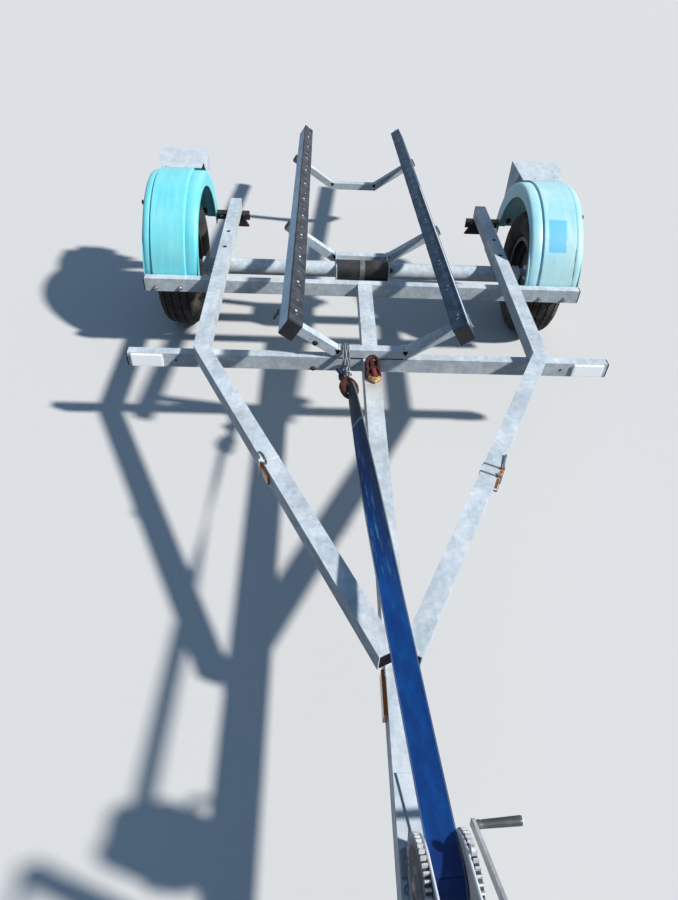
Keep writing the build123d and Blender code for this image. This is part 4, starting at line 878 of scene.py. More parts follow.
class TRAILER_OT_bunks(bpy.types.Operator):
    """Covers the bunks with rubber, staples it down and closes their ends"""
    bl_idname = "trailer.bunks"
    bl_label = "Bunks"

    def execute(self, context):
        run, wide, up = bunk_frame()
        length = (BUNK_REAR - BUNK_FRONT) / math.cos(FALL)
        cover = bunk_cover(length)
        start = bunk_centre() + up * (HALF_BOARD + COVER)
        spots = np.arange(38, length - 20, context.scene.trailer_sizes.staple_gap)
        jitter = np.random.default_rng(4)
        rows = []
        for spot in spots:
            at = start + run * (spot + jitter.uniform(-5, 5)) + wide * jitter.uniform(-4, 4)
            turn = jitter.uniform(-0.5, 0.5)
            rows.append(staple(at, unit(wide * math.cos(turn) + run * math.sin(turn)), up))
        heads = [pan_head(start + run * (spot + 26) + wide * 3 - up * 0.6, up, 4.6) for spot in spots[::2]]
        staples = join(*rows, *heads)
        end = bunk_centre() - run
        caps = join(*[slab(rounded(46, 56, 3), -3, 3, at, wide, up, 1.0) for at in (end, end + run * (length + 2))])
        # the right bunk's cover is a bluer copy of the black one: painted shade, as its top faces away from the key
        # light
        for name, side, rubber, wire in (("left", -1, "cover", "staple"), ("right", 1, "cover_painted_shade", "tie")):
            piece(f"{name}_bunk_cover", sided(cover, side), rubber)
            piece(f"{name}_bunk_staples", sided(staples, side), wire)
            piece(f"{name}_bunk_caps", sided(caps, side), "black_plastic")
        line = start + wide * 24.8 - up * 5.0 + run * np.linspace(-1, length * 0.55, 30)[:, None]
        strip = sweep(line, rounded(3.2, 13, 1.2, 3), up)
        piece("right_bunk_trim", strip, "pale_edge")
        return {"FINISHED"}


def yawed(*shapes):
    """Joins shapes and turns them about the drum's upright, in line with the strap."""
    verts, quads, tris = join(*shapes)
    c, s = math.cos(YAW), math.sin(YAW)
    x, y, z = (verts - DRUM).T
    return np.stack([x * c - y * s, x * s + y * c, z], -1) + DRUM, quads, tris


class TRAILER_OT_strap(bpy.types.Operator):
    """Winds the webbing on the drum and runs it to the hook"""
    bl_idname = "trailer.strap"
    bl_label = "Winch strap"

    def execute(self, context):
        half = context.scene.trailer_sizes.strap_width / 2
        x, y, z = DRUM
        angle = np.linspace(0, 2 * np.pi * 8.25, 330)
        radius = 16 + 18.2 * angle / angle[-1]
        turn = angle - angle[-1] + np.pi / 2
        roll = np.stack([np.full(330, x), y + radius * np.cos(turn), z + radius * np.sin(turn)], -1)
        start, end = roll[-1] + (0, 12, 0), np.array([x, y + STRAP_REACH + 44, HOOK[2] + 6.5])
        share = np.linspace(0, 1, 150)[:, None]
        path = np.concatenate([roll, start + (end - start) * share])
        columns = np.array([-1, -0.93, -0.88, -0.5, 0, 0.5, 0.88, 0.93, 1]) * half
        lift = np.array([0.7, 0.85, 0.7, 0.75, 0.8, 0.75, 0.7, 0.85, 0.7])
        section = np.concatenate([np.stack([columns, lift], -1), np.stack([columns, -lift], -1)[::-1]])
        normal = np.cross(RIGHT, unit(np.gradient(path, axis=0)))
        far = path[:, 1] - end[1]
        far[:len(roll)] = -2000
        twist = np.interp(far, [-760, -520, -330, -180, -60, 0], np.radians([0, 22, 44, 57, 63, 68]))[:, None, None]
        gather = np.interp(far, [-160, -60, -15, 0], [1, 0.9, 0.7, 0.45])[:, None, None]
        curl = np.interp(far, [-900, -300, 0], [0, 3.0, 6.0])[:, None, None] * (section[:, :1] / half) ** 2
        across = section[:, :1] * gather
        lifted = section[:, 1:] + curl
        points = (path[:, None] + (across * np.cos(twist) + lifted * np.sin(twist)) * RIGHT
                  - (lifted * np.cos(twist) - across * np.sin(twist)) * normal[:, None])
        run = travel(path)
        run = run - run[len(roll)]
        size = points.shape[:2]
        uv = np.stack([np.broadcast_to(section[:, 0], size), np.broadcast_to(run[:, None], size)], -1)
        uv = np.concatenate([uv.reshape(-1, 2), uv[[0, -1]].mean(1)]) * MM
        made = piece("strap_webbing", yawed(grid(points, around=True, caps=True)), "webbing", uv=uv, sharp=60)
        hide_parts("winch_strap")
        return {"FINISHED"}


def cradle_welds(y, base):
    """Beads round the right bend of a cradle: along the mitre plane, which leans half the bend's angle."""
    lean, size = math.tan(LEAN / 2) * HALF_BAR, 2 * HALF_BAR
    low, high = (BEND + lean, base), (BEND - lean, base + size)
    ring = [(high[0], y, high[1]), (high[0], y + size, high[1]), (low[0], y + size, low[1]), (low[0], y, low[1])]
    return join(*[bead(ends, 2.6, (1, 0.3, 0.2)) for ends in zip(ring, ring[1:])])


def plug(at, along, wide, up, width, height):
    """A moulded end plug: a rounded flange with a low pillow face."""
    outline = rounded(width, height, 4)
    along, wide, up = (unit(np.asarray(d, float)) for d in (along, wide, up))
    layers = [(1.0, -0.4), (1.0, 1.5), (0.96, 2.4), (0.8, 3.0), (0.3, 3.45)]
    points = np.stack([np.asarray(at, float) + (outline[:, :1] * wide + outline[:, 1:] * up) * s + h * along
                       for s, h in layers])
    return grid(points, around=True, caps=True)


class TRAILER_OT_frame(bpy.types.Operator):
    """Sets the bolts, weld beads and end plugs of the frame"""
    bl_idname = "trailer.frame"
    bl_label = "Frame fittings"

    def execute(self, context):
        welds = [((25.2, y, 294), (25.2, y, 342), 2.8, RIGHT) for y in (-457.2, -426.8)]
        for y in (FRONT_BEAM, 0.0):
            welds += [((x, y, 343.4), (x, y + 30, 343.4), 2.8, UP) for x in (RAIL_X - 22, RAIL_X + 22)]
            welds += [((RAIL_X - 20, edge, 342.6), (RAIL_X + 20, edge, 342.6), 2.6, UP) for edge in (y - 0.2, y + 30.2)]
        welds += [((RAIL_X - 21, y, 336), (RAIL_X + 21, y, 336), 3.2, UP) for y in (148.5, 207.5)]
        welds += [((25.2, -456, 343), (25.2, -428, 343), 2.6, UP), ((25.2, -0.2, 294), (25.2, -0.2, 342), 3.0, RIGHT),
                  ((25, -1512, 343.2), (25, -1440, 343.2), 2.8, UP)]
        turn = np.linspace(0, 2 * np.pi, 41)
        ring = np.stack([np.full(41, 594.5), AXLE_Y + 31 * np.cos(turn), AXLE_Z + 31 * np.sin(turn)], -1)
        beads = [bead((start, end), radius, up) for start, end, radius, up in welds] + [bead(ring, 2.8, RIGHT)]
        middle = [bead([(-24, -0.2, 343), (24, -0.2, 343)], 2.8), bead([(-24, -0.4, 284), (24, -0.4, 284)], 3.0),
                  bead([(0.2, -1502, 393.2), (0.2, -1478, 393.2)], 2.2)]
        bolts = [hex_bolt(at, way, size, stub) for at, way, size, stub in (
            ((RAIL_X, 165, 345.6), UP, 7.5, 0), ((RAIL_X, 294, 345.6), UP, 7.5, 0),
            ((RAIL_X, 294, 337), DOWN, 9.0, 8.0), ((RAIL_X, 318, 337), DOWN, 9.0, 8.0),
            ((492, 580, 339), DOWN, 7.0, 5.0), ((592, 596, 322), AHEAD, 7.0, 0), ((103, 286, 312), RIGHT, 8.0, 5.0),
            ((60, 150, 273), DOWN, 8.0, 6.0), ((60, 250, 273), DOWN, 8.0, 6.0))]
        plugs = [plug((x, y + HALF_BAR, 318), RIGHT, BACK, UP, 30, 50) for x, y in ((802, 0), (762, FRONT_BEAM))]
        plugs.append(plug((RAIL_X, 609, 368), BACK, RIGHT, UP, 44, 50))
        # black slabs as painted shade: inside the open front end of each rail and in the notch at each cradle bend
        shade_slabs = [slab(rounded(36, 42, 4), -0.5, 0.5, RAIL_FRONT - RAIL_RUN * 0.2, RAIL_OUT, UP, 0.2)]
        arm, normal = (math.cos(LEAN), 0, math.sin(LEAN)), (-math.sin(LEAN), 0, math.cos(LEAN))
        for y, base in CRADLES:
            beads.append(cradle_welds(y, base))
            under = arm_point(y + HALF_BAR, base, BUNK_OUT, -HALF_BAR)
            bolts.append(hex_bolt(under, np.negative(normal), 7.5, 5.0))
            plugs.append(plug(arm_point(y + HALF_BAR, base, ARM), arm, BACK, normal, 30, 30))
            notch_shade = evened([(-12, 28.5), (8, 31), (0.5, 14)], 3.0)
            shade_slabs.append(slab(notch_shade, -1, 0.35, (BEND, y, base), RIGHT, UP, 0.1))
        clamps = [hex_bolt((x, 0, 308), AHEAD, 8.0, 0) for x in (-761, -673, 658, 751)]
        clamps += [hex_bolt((x * 0.985, 50, 312), BACK, 8.0, 6.0) for x in (-761, -673, 658, 751)]
        screws = [pan_head((-177, FRONT_BEAM, 396), AHEAD, 9.5), pan_head((-182, FRONT_BEAM, 300), AHEAD, 9.0),
                  both(pan_head((612, FRONT_BEAM, 318), AHEAD, 4.0))]
        # a black strip as the painted shadow in the seam under the front cradle
        lip = box_shape((-102, -457.8, 341.4), (102, -456.5, 344.6))
        piece("frame_painted_shade", join(lip, both(join(*shade_slabs))), "painted_shade_black", sharp=50)
        piece("frame_welds", join(*middle, both(join(*beads))), "weld", sharp=60)
        piece("frame_bolts", both(join(*bolts)), "bolt")
        piece("guard_bolts", join(*clamps), "bolt")
        piece("frame_screws", join(*screws), "black_plastic")
        piece("end_plugs", both(join(*plugs)), "black_plastic", sharp=50)
        return {"FINISHED"}


class TRAILER_OT_lamps(bpy.types.Operator):
    """Sets the lamps' lenses and housings, the reflectors' frames, their ties and the brackets' screws"""
    bl_idname = "trailer.lamps"
    bl_label = "Lamps and reflectors"

    def execute(self, context):
        x, z, back, face = 718.0, 516.0, 640.2, 685.6
        housing = slab(rounded(112, 98, 8), -1.0, 15.0, (x, back, z), LEFT, UP, 1.5)
        rim = slab(rounded(108, 95, 7), 15.0, 18.5, (x, back, z), LEFT, UP, 1.0)
        amber = slab(rounded(42, 78, 4), 0.0, 2.4, (x + 27, face, z), LEFT, UP, 0.8)
        clear = slab(rounded(42, 24, 3), 0.0, 2.6, (x - 23, face, z - 27), LEFT, UP, 0.8)
        ribs = [slab(rounded(50, 1.6, 0.7, 3), 0.0, 1.4, (x - 23, face, z + h), LEFT, UP, 0.3) for h in (-8, 4, 16, 28)]
        screws = [pan_head((x + step, 687.5, z + 40), BACK, 3.2) for step in (-44, 44)]
        piece("lamp_housings", both(join(housing, rim)), "black_plastic")
        piece("lamp_indicators", both(amber), "amber_lens")
        piece("lamp_reversing_lenses", both(clear), "white_lens_painted_glow")
        piece("lamp_ribs", both(join(*ribs)), "red_lens")
        piece("lamp_screws", both(join(*screws)), "zinc")
        tops = ((-764, 441), (-687, 438), (640, 603), (769, 532), (682, 452), (760, 470))
        rivets = [pan_head((*spot, 578), UP, 3.6) for spot in tops]
        rivets += [both(pan_head((spot, 638, 430), AHEAD, 3.6)) for spot in (668, 764)]
        piece("bracket_screws", join(*rivets), "bolt")
        at = (700.0, -460.0, 318.5)
        plate = slab(rounded(98, 45, 4), -0.5, 1.8, at, RIGHT, UP)
        glass = slab(rounded(91, 38, 3), 1.6, 3.4, at, RIGHT, UP, 0.8)
        piece("front_reflector_lenses", both(join(plate, glass)), "white_lens_painted_glow")
        edge = evened(np.array([(-44, 0, -38), (44, 0, -38), (0, 0, 38)]) * 0.98, 4.0)
        inner = evened([(-43, -37), (43, -37), (0, 37)], 6.0)
        frames = [sweep(edge + (at, 607, 309), rounded(5, 3, 1, 3), BACK, loop=True) for at in (-518, 518)]
        backs = [slab(inner, 0.0, 5.0, (at, 603.5, 309), RIGHT, UP, 0.8) for at in (-518, 518)]
        piece("reflector_backs", join(*backs), "black_plastic")
        piece("reflector_frames", join(*frames), "red_lens", sharp=50)
        flat = rounded(5.4, 1.3, 0.5, 3)
        outline = rounded(54.6, 51.6, 4.0, 6)
        ties = []
        for spot, tail_length in ((-973, 52), (-1001, 10), (-962, 8)):
            share = (spot - RAIL_FRONT[1]) / (RAIL_BEND - RAIL_FRONT)[1]
            middle = RAIL_FRONT + (RAIL_BEND - RAIL_FRONT) * share + RAIL_OUT * 4.0
            loop = middle + outline[:, :1] * RAIL_OUT + outline[:, 1:] * UP
            corner = middle + RAIL_OUT * 22
            lock = box_shape(corner + (-3, -4, 26), corner + (5, 3, 31))
            share = np.array([[0], [0.5], [1]])
            tail = middle + RAIL_OUT * (23 - 6 * share) + RAIL_RUN * (tail_length * share) + (28 + 2 * share) * UP
            ties.append(join(sweep(loop, flat[:, ::-1], RAIL_RUN, loop=True), lock, sweep(tail, flat, UP)))
        piece("reflector_ties", join(*ties[:2]), "tie", sharp=40)
        piece("left_reflector_tie", mirrored(ties[2]), "pale_edge", sharp=40)
        turn = np.linspace(0, 2 * np.pi, 48, endpoint=False)[:, None]
        spare = RAIL_OUT * 5.5 * np.sin(turn) + RAIL_RUN * 24 * np.cos(turn) - (0, 0, 2) * np.sin(turn)
        spare = sweep(spare + (303.0, -962.0, 394.5), circle(1.7, 8), UP, loop=True)
        piece("spare_tie", mirrored(spare), "tie")
        return {"FINISHED"}


def support(circles, points, count=160):
    """The outline of the hull of circles and points: in every direction, the one that reaches furthest."""
    turn = np.linspace(0, 2 * np.pi, count, endpoint=False)
    ray = np.stack([np.cos(turn), np.sin(turn)], -1)
    spots = [np.array(c[:2]) + ray * c[2] for c in circles] + [np.broadcast_to(p, ray.shape) for p in points]
    reach = np.stack([(s * ray).sum(1) for s in spots])
    return np.stack(spots)[reach.argmax(0), np.arange(count)]


class TRAILER_OT_winch(bpy.types.Operator):
    """Finishes the winch: flanged side plates, gear hubs, rivets, pawl, crank fixings, grip and stand"""
    bl_idname = "trailer.winch"
    bl_label = "Winch"

    def execute(self, context):
        x, y, z = DRUM
        bright, steel, clips = [], [], []
        outline = support([(y, z, 61.2), (*PINION, 21.2)], [(-1961, 418.5), (-1837, 418.5)])
        rim = evened(outline[:, [0, 0, 1]], 4.0)
        # dark rings and hub ridges on the left gear's outer face: painted shade, as that face is turned away from the
        # key light
        grease_and_painted_shade = [flat_ring(38.6, 39.5, 24.6, 49.4, DRUM, LEFT, 72)]
        painted_shade_steel = [flat_ring(38.6, 39.3, 13.0, 24.6, DRUM, LEFT, 48), flat_ring(38.6, 39.3, 49.4, 59.8, DRUM, LEFT, 72)]
        for side, way, hub, bolts in ((-1, LEFT, painted_shade_steel, 2), (1, RIGHT, steel, 4)):
            rim[:, 0] = x + side * 27.5
            bright.append(sweep(rim, circle(2.3, 8), RIGHT, loop=True))
            for spot in ((-1944, 440), (-1850, 444), (-1868, 556), (-1924, 500))[:bolts]:
                steel.append(hex_bolt((x + side * 29, *spot), way, 6.2, 0))
            for r in (22.0, 52.0):
                ridge = [(-0.5, r - 2.4), (0.8, r - 1.6), (1.1, r), (0.8, r + 1.6), (-0.5, r + 2.4)]
                hub.append(lathe(ridge, (x + side * 39, y, z), way, 56, ring=True))
            hub.append(lathe([(-0.5, 15), (3.2, 14), (4.0, 12.5)], (x + side * 39, y, z), way, 36))
            clips.append(lathe([(0, 6.5), (2.0, 6.2), (2.6, 4.6)], (x + side * 43, y, z), way, 20))
            # dark band at the roots of each gear's teeth: grease, with painted shade between the teeth
            grease_and_painted_shade.append(flat_ring(31.4, 38.6, 58.0, 60.6, DRUM, way, 96))
        steel.append(hex_bolt((84, *PINION), RIGHT, 9.5, 6.0))
        steel.append(lathe([(44, 12), (46, 12.5), (58, 12.5), (60, 11)], (x, *PINION), RIGHT, 28))
        steel += [hex_bolt((x + step, along, 420), UP, 7.0, 3.0) for step in (-16, 16) for along in (-1950, -1848)]
        pawl = [(-26, -7), (-18, -10), (6, -6), (17, -2), (21, 6), (14, 5), (2, 5), (-12, 9), (-24, 8)]
        steel.append(slab(pawl, 0, 5, (x - 46.5, -1940, 440), BACK, UP, 0.8))
        steel.append(lathe([(0, 5), (18, 5)], (x - 29, -1956, 441), LEFT, 16))
        steel.append(hex_bolt((x - 46, -1956, 441), LEFT, 5.0, 0, False))
        coil = np.linspace(0, 2 * np.pi * 5, 60)
        spring = np.stack([x - 41 + 0.14 * coil, -1956 + 6 * np.cos(coil), 441 + 6 * np.sin(coil)], -1)
        steel.append(sweep(spring, circle(0.8, 6), RIGHT))
        piece("winch_flanges", yawed(*bright), "bright_zinc", sharp=60)
        piece("winch_fixings", yawed(*steel), "zinc")
        piece("winch_clips", yawed(*clips), "bolt")
        piece("winch_grease_and_painted_shade", yawed(*grease_and_painted_shade), "grease_and_painted_shade", sharp=50)
        piece("winch_painted_shade_rings", yawed(*painted_shade_steel), "painted_shade_steel", sharp=50)
        ribs = [(at + k * 4.2, radius + 0.07 * k) for k in range(12) for at, radius in ((10, 6.2), (12.1, 6.75))]
        grip = [(0, 5.4), (1.5, 6.8), (5, 7.1), (9, 6.3), *ribs, (62, 7.2), (66, 7.5), (70.5, 7.5), (71.8, 6.6)]
        made = piece("crank_handgrip", yawed(lathe(grip, (84, *GRIP), RIGHT, 28)), "grip")
        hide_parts("crank_grip")
        end = lathe([(70.5, 7.0), (72.4, 6.8), (72.8, 5.6), (72.0, 4.8), (71.9, 3.2)], (84, *GRIP), RIGHT, 28)
        piece("grip_rivet", yawed(end, pan_head((79, *GRIP), LEFT, 6.0)), "bright_zinc")
        foot = evened([(-19, -1694), (24, -1694), (24, -1930), (-13, -1930), (-13, -1842), (-1.5, -1783)], 6.0)
        toe = lathe([(-21, 13.0), (-20, 14.2), (19, 14.2), (20.5, 12.8)], (-9, -1832, 346), BACK, 28)
        collar = slab(rounded(36, 14, 3), 0, 12.0, (3, -1862, 347), RIGHT, BACK, 1.5)
        heads = [pan_head((-15, along, 372), LEFT, 7.0) for along in (-1900, -1836)]
        left_nut, right_nut = (hex_bolt((at, -1868, 347), UP, 7.0, 6.0) for at in (-14, 20))
        nuts = [hex_bolt((25, along, 372), RIGHT, 7.0, 4.0) for along in (-1900, -1836)]
        welds = [bead([(at, -1924, 343.6), (at, -1813, 343.6)], 2.4) for at in (-15.4, 25.4)]
        piece("post_foot", slab(foot, -0.3, 4.5, (0, 0, 343), RIGHT, BACK, 0.8), "sheet")
        piece("post_clamp", join(toe, collar, left_nut, *heads), "dark_steel", sharp=50)
        piece("post_pad", slab(rounded(15, 44, 4), 0, 7.0, (12, -1832, 347), RIGHT, BACK, 1.0), "black_rubber")
        piece("post_bolts", join(right_nut, *nuts), "bolt")
        piece("post_welds", join(*welds), "weld", sharp=60)
        return {"FINISHED"}


def cord(path, radius, count=10):
    """A round cord along a closed path, with a UV map in metres: turn about the cord and run along it."""
    shape = sweep(path, circle(radius, count), (0.05, 0.1, 1), loop=True)
    size = (len(path), count)
    run = travel(path)[:, None] * MM
    uv = np.stack([np.broadcast_to(np.arange(count) / count, size), np.broadcast_to(run, size)], -1)
    return shape, uv.reshape(-1, 2)


ROPE_WAY = np.array([  # share of a row's place across, of its wave, then y and z, each with the share of the row's lift
    (0.4, 0, -613, 0, 361, 1), (0.5, 0, -601, 0, 369, 1), (0.9, 1, -556, 0, 364, 1), (0.8, -1, -525, 0, 368, 1),
    (1, 1, -492, 0, 372.5, 1), (1, 0, -461, 0, 377, 1), (1, 0, -442, 0, 377.8, 1), (1, 0, -423.5, 0.3, 373, 0),
    (1, 0, -421.5, 0.3, 345, 0), (1, 0, -421.5, 0.3, 300, 0), (1, 0, -430, 0, 288.6, -1), (1, 0, -452, 0, 288.6, -1),
    (1, 0, -462.5, -0.5, 300, 0), (1, 0, -466, -0.5, 330, 0), (0.8, 0, -500, 0, 350, 0), (0.4, 0, -575, 0, 357, 0),
    (0.4, 0, -607, 0, 358, 0)]).T


def rope_row(across, lift):
    """One row of the rope round the front cradle, from the hook over the beam and back under it."""
    wave = 2.6 * math.sin(across * 1.7 + 0.6)
    share, swing, y, y_lift, z, z_lift = ROPE_WAY
    points = np.stack([-80 + across * share + wave * swing, y + lift * y_lift, z + lift * z_lift], -1)
    return spline(points, 170, loop=True)


class TRAILER_OT_hook(bpy.types.Operator):
    """Forges the strap's hook, lays the rope round the front cradle and forms the lock shackle"""
    bl_idname = "trailer.hook"
    bl_label = "Hook, rope and shackle"

    def execute(self, context):
        start = np.array([DRUM[0], DRUM[1] + STRAP_REACH, HOOK[2]])
        eye = spline([(0, 1, -10), (10, 2, -8), (17, 14, -4), (17, 38, -1), (10, 66, 0), (0, 81, -1), (-9, 67, 0),
                      (-16.5, 42, -1), (-13.5, 15, -4), (-8, 5, -8)], 100, loop=True)
        thick = 4.6 + 6.6 * np.sin(np.pi * np.clip(eye[:, 1] / 78, 0, 1)) ** 0.7
        bowl = spline([(0, 74, 1), (1, 84, -4), (0, 86, -14), (0, 82, -24), (0, 72, -32), (0, 60, -33),
                       (0, 53, -27)], 40)
        taper = 7.5 - 3.0 * np.linspace(0, 1, 40) ** 1.5
        latch = spline([(0, 60, -12), (0, 58, -20), (0, 56, -28)], 12)
        made = piece("hook_forging", yawed(
            sweep(eye + start, circle(1.0, 14, 0.85)[None] * thick[:, None, None], UP, loop=True),
            sweep(bowl + start, circle(1.0, 14)[None] * taper[:, None, None], RIGHT),
            sweep(latch + start, rounded(7, 1.6, 0.6, 3), BACK)), "rust", sharp=60)
        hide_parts("strap_hook")
        loops = [cord(rope_row(*row), 3.5) for row in ((-7.0, 0.0), (0.0, 0.6), (7.0, 0.0))]
        strands = [cord(rope_row(*row), 1.5) for row in ((-8.4, 1.9), (-3.2, 3.4), (2.6, 3.2), (8.0, 1.9))]
        for name, cords, material in (("rope_loops", loops, "dark_rope"), ("rope_strands", strands, "rope")):
            shapes, maps = zip(*cords)
            made = piece(name, join(*shapes), material, sharp=0, uv=np.concatenate(maps))
            if name == "rope_loops":
                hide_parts("cradle_rope")
        t = np.linspace(0, 2 * np.pi, 130, endpoint=False)
        knot = np.stack([(np.sin(t) + 1.9 * np.sin(2 * t)) * 5.46, (np.cos(t) - 1.9 * np.cos(2 * t)) * 9.87,
                         -np.sin(3 * t) * 6.825], -1)
        shape, uv = cord(knot + (-92.0, -556.0, 360.0), 6.4, 12)
        piece("rope_knot", shape, "navy_rope", sharp=0, uv=uv)
        ball = [(-3, 5.0), (-3.4, 7), (-2, 8.5), (2, 8.5), (3.4, 7), (3, 5.0)]
        piece("rope_bead", lathe(ball, (-71, -563, 364), (0.3, 1, 0), 26, ring=True), "pale_edge")
        bow = spline([(-17, -545, 352), (-17.5, -522, 361), (-16, -503, 368), (-9, -492, 372), (0.5, -488, 373.5),
                      (10, -492, 372), (17, -503, 368), (18.5, -522, 361), (18, -545, 352)], 60)
        rim = spline([(-20, -556, 358), (-16, -546, 364), (-8, -539, 368), (0, -537, 369.5), (9, -538, 368),
                      (17, -544, 364), (21, -554, 358)], 40)
        spine = [(-4.0, -486, 373), (-2.5, -505, 371), (-0.5, -524, 367), (1.5, -538, 362)]
        eye = [(-9, 5.5), (-8, 7.8), (8, 7.8), (9, 5.5)]
        eyes = [lathe(eye, (at, -553, 352), (0, 1, -0.2), 22) for at in (-17, 18)]
        made = piece("shackle_bow", join(sweep(bow, circle(6.4, 14), UP), sweep(rim, circle(3.4, 12), UP),
                                         sweep(spine, rounded(14, 5, 2, 3), UP), *eyes), "rust", sharp=60)
        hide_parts("lock_shackle")
        # a black slab as painted shade in the gaps under the shackle's bow
        shade = slab(rounded(26, 58, 5), -6.5, 1.0, (0, -519, 354), RIGHT, (0, 1, 0.3), 1.5)
        piece("shackle_shade", shade, "painted_shade_black")
        pin = lathe([(-16, 6.5), (-15, 8.6), (15, 8.6), (16, 7.0), (16.6, 5.0)], (4, -552, 358), (0.18, -1, -0.2), 26)
        piece("shackle_pin", pin, "red_rust", sharp=50)
        tip = evened([(-15, -549), (-16, -571), (-4, -581), (5, -588), (14, -580), (25, -571), (24, -549)], 3.5)
        body = slab(tip, 0.2, 12.0, (0, 0, 343), RIGHT, BACK, 3.0)
        lid = slab(rounded(26, 9, 3), 0, 3.0, (4, -574, 354.6), (1, -0.15, 0), (0.15, 1, 0), 1.0)
        piece("shackle_padlock", join(body, lid), "brass", sharp=50)
        return {"FINISHED"}


def jockey_tread():
    """The small tyre: its section turned round the axle, with two grooves that sway with 24 sine waves."""
    side = np.array([(22.5, 70.4), (24.0, 76.0), (24.8, 83.0), (24.8, 88.0), (23.0, 93.5), (18.5, 97.8), (13.0, 99.0)])
    walls = np.array([(10.0, 99.4), (9.2, 96.4), (5.6, 96.4), (4.8, 99.9)])
    half = np.concatenate([side, walls])
    section = np.concatenate([half, half[::-1] * (-1, 1), [(-20, 70.2), (20, 70.2)]])
    sway = np.where(np.abs(np.arange(len(section)) - 10.5) < 4, 1.2, 0)
    angle = np.linspace(0, 2 * np.pi, 180, endpoint=False)
    x = section[:, 0] + sway * np.sin(angle * 24)[:, None]
    verts, quads, tris = wheel_grid(x, np.broadcast_to(section[:, 1], x.shape))
    return verts + JOCKEY_AXLE, quads, tris


class TRAILER_OT_front(bpy.types.Operator):
    """Finishes the coupling head and the jockey wheel"""
    bl_idname = "trailer.front"
    bl_label = "Coupling and jockey wheel"

    def execute(self, context):
        x, y, z = JOCKEY_X, JOCKEY_Y, 313
        bolts = [hex_bolt((way[0] * 30, at, 318), way, 8.0, 4.0) for at in (-2104, -2078) for way in (LEFT, RIGHT)]
        bolts.append(lathe([(-14, 5), (-13, 6), (13, 6), (14, 5)], (0, -2148, 350), RIGHT, 18))
        turn = np.linspace(0, 2 * np.pi, 72, endpoint=False)
        lip = np.stack([29.6 * np.cos(turn), COUPLING_Y + 29.6 * np.sin(turn), np.full(72, 298.4)], -1)
        rolls = [sweep(lip, circle(2.0, 8), UP, loop=True), both(bead([(24, -2066, 348.6), (24, -2120, 348.6)], 1.8))]
        piece("coupling_bolts", join(*bolts), "bolt")
        piece("coupling_rolls", join(*rolls), "zinc", sharp=60)
        knob = [(0, 12.8), (2, 13.6), (20, 13.9), (24, 12.6), (40, 13.2), (52, 13.8), (60, 13.2), (65, 9.5), (66.5, 4)]
        piece("jockey_knob", lathe(knob, (x, -2112, 655), UP, 30), "black_plastic")
        cap = [lathe([(-0.5, 26.4), (1, 27), (6, 27), (8.5, 25)], (x, y, 622.5), UP, 40),
               lathe([(-1, 12), (2, 12), (3, 10.5), (16, 10.5), (17, 9)], (x, y, 631), UP, 26),
               hex_bolt((x, y, 655), UP, 7.5, 3.0),
               lathe([(-2, 25.6), (-1.6, 28), (3, 28), (3.6, 25.6)], (x, y, 283), UP, 40, ring=True)]
        piece("jockey_collars", join(*cap), "zinc")
        jaw = [lathe([(-30, 5.2), (-29, 6), (26, 6), (27, 5)], (-97, y, z), BACK, 18),
               hex_bolt((-97, -2003, z), BACK, 9.0, 5.0),
               lathe([(-34, 4.2), (-33, 5), (33, 5), (34, 4.2)], (-97, -2043, z), (0, 0.2, 1), 16)]
        jaw += [lathe([(-4, 5.5), (0, 7.5), (5, 6.5), (6, 4)], (-97, -2043 + s * 6.5, z + s * 33), (0, 0.2 * s, s), 16)
                for s in (-1, 1)]
        jaw += [hex_bolt((-33, y + step, z), LEFT, 8.0, 4.0) for step in (-36, 36)]
        piece("clamp_screw", join(*jaw), "bolt")
        made = piece("jockey_tyre_tread", jockey_tread(), "tyre", "jockey_wheel", sharp=30)
        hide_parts("jockey_tyre")
        rings = []
        for side, way, name in ((-1, LEFT, "left"), (1, RIGHT, "right")):
            nut = hex_bolt((x + side * 40.4, *JOCKEY_AXLE[1:]), way, 9.0, 3.0)
            piece(f"jockey_axle_nut_{name}", nut, "bolt", "jockey_fork")
            rings += [lathe([(side * 22.0, r - 2.5), (side * 23.4, r), (side * 22.0, r + 2.5)], JOCKEY_AXLE, RIGHT, 48,
                            ring=True) for r in (24, 56)]
        piece("jockey_rim_ribs", join(*rings), "rim", "jockey_wheel")
        return {"FINISHED"}


class TRAILER_OT_saddle(bpy.types.Operator):
    """Finishes the rubber-bushed saddle on the axle"""
    bl_idname = "trailer.saddle"
    bl_label = "Saddle"

    def execute(self, context):
        lip = [(-1.4, 30.4), (-1.8, 35), (-0.6, 38.2), (1.0, 38.2), (1.6, 35), (1.4, 30.4)]
        lips = [lathe(lip, (end, AXLE_Y, AXLE_Z), RIGHT, 48, ring=True) for end in (2.0, 98.0)]
        edges = [both(sweep([(101, 134.5, 275), (101, 134.5, 338)], rounded(5, 5, 2, 3), BACK)),
                 sweep([(-103, 133.5, 275), (103, 133.5, 275)], rounded(7, 5, 2, 3), BACK)]
        piece("saddle_sleeve_lips", both(join(*lips)), "black_rubber", sharp=60)
        piece("saddle_spacer", flat_ring(-10, 9, 36.5, 38.6, (0, AXLE_Y, AXLE_Z), RIGHT, 48), "tie")
        piece("saddle_pivot_bolt", hex_bolt((103, 152, 322), RIGHT, 11.0, 6.0), "black_plastic")
        piece("saddle_rolled_edges", join(*edges), "galvanised", sharp=60)
        return {"FINISHED"}


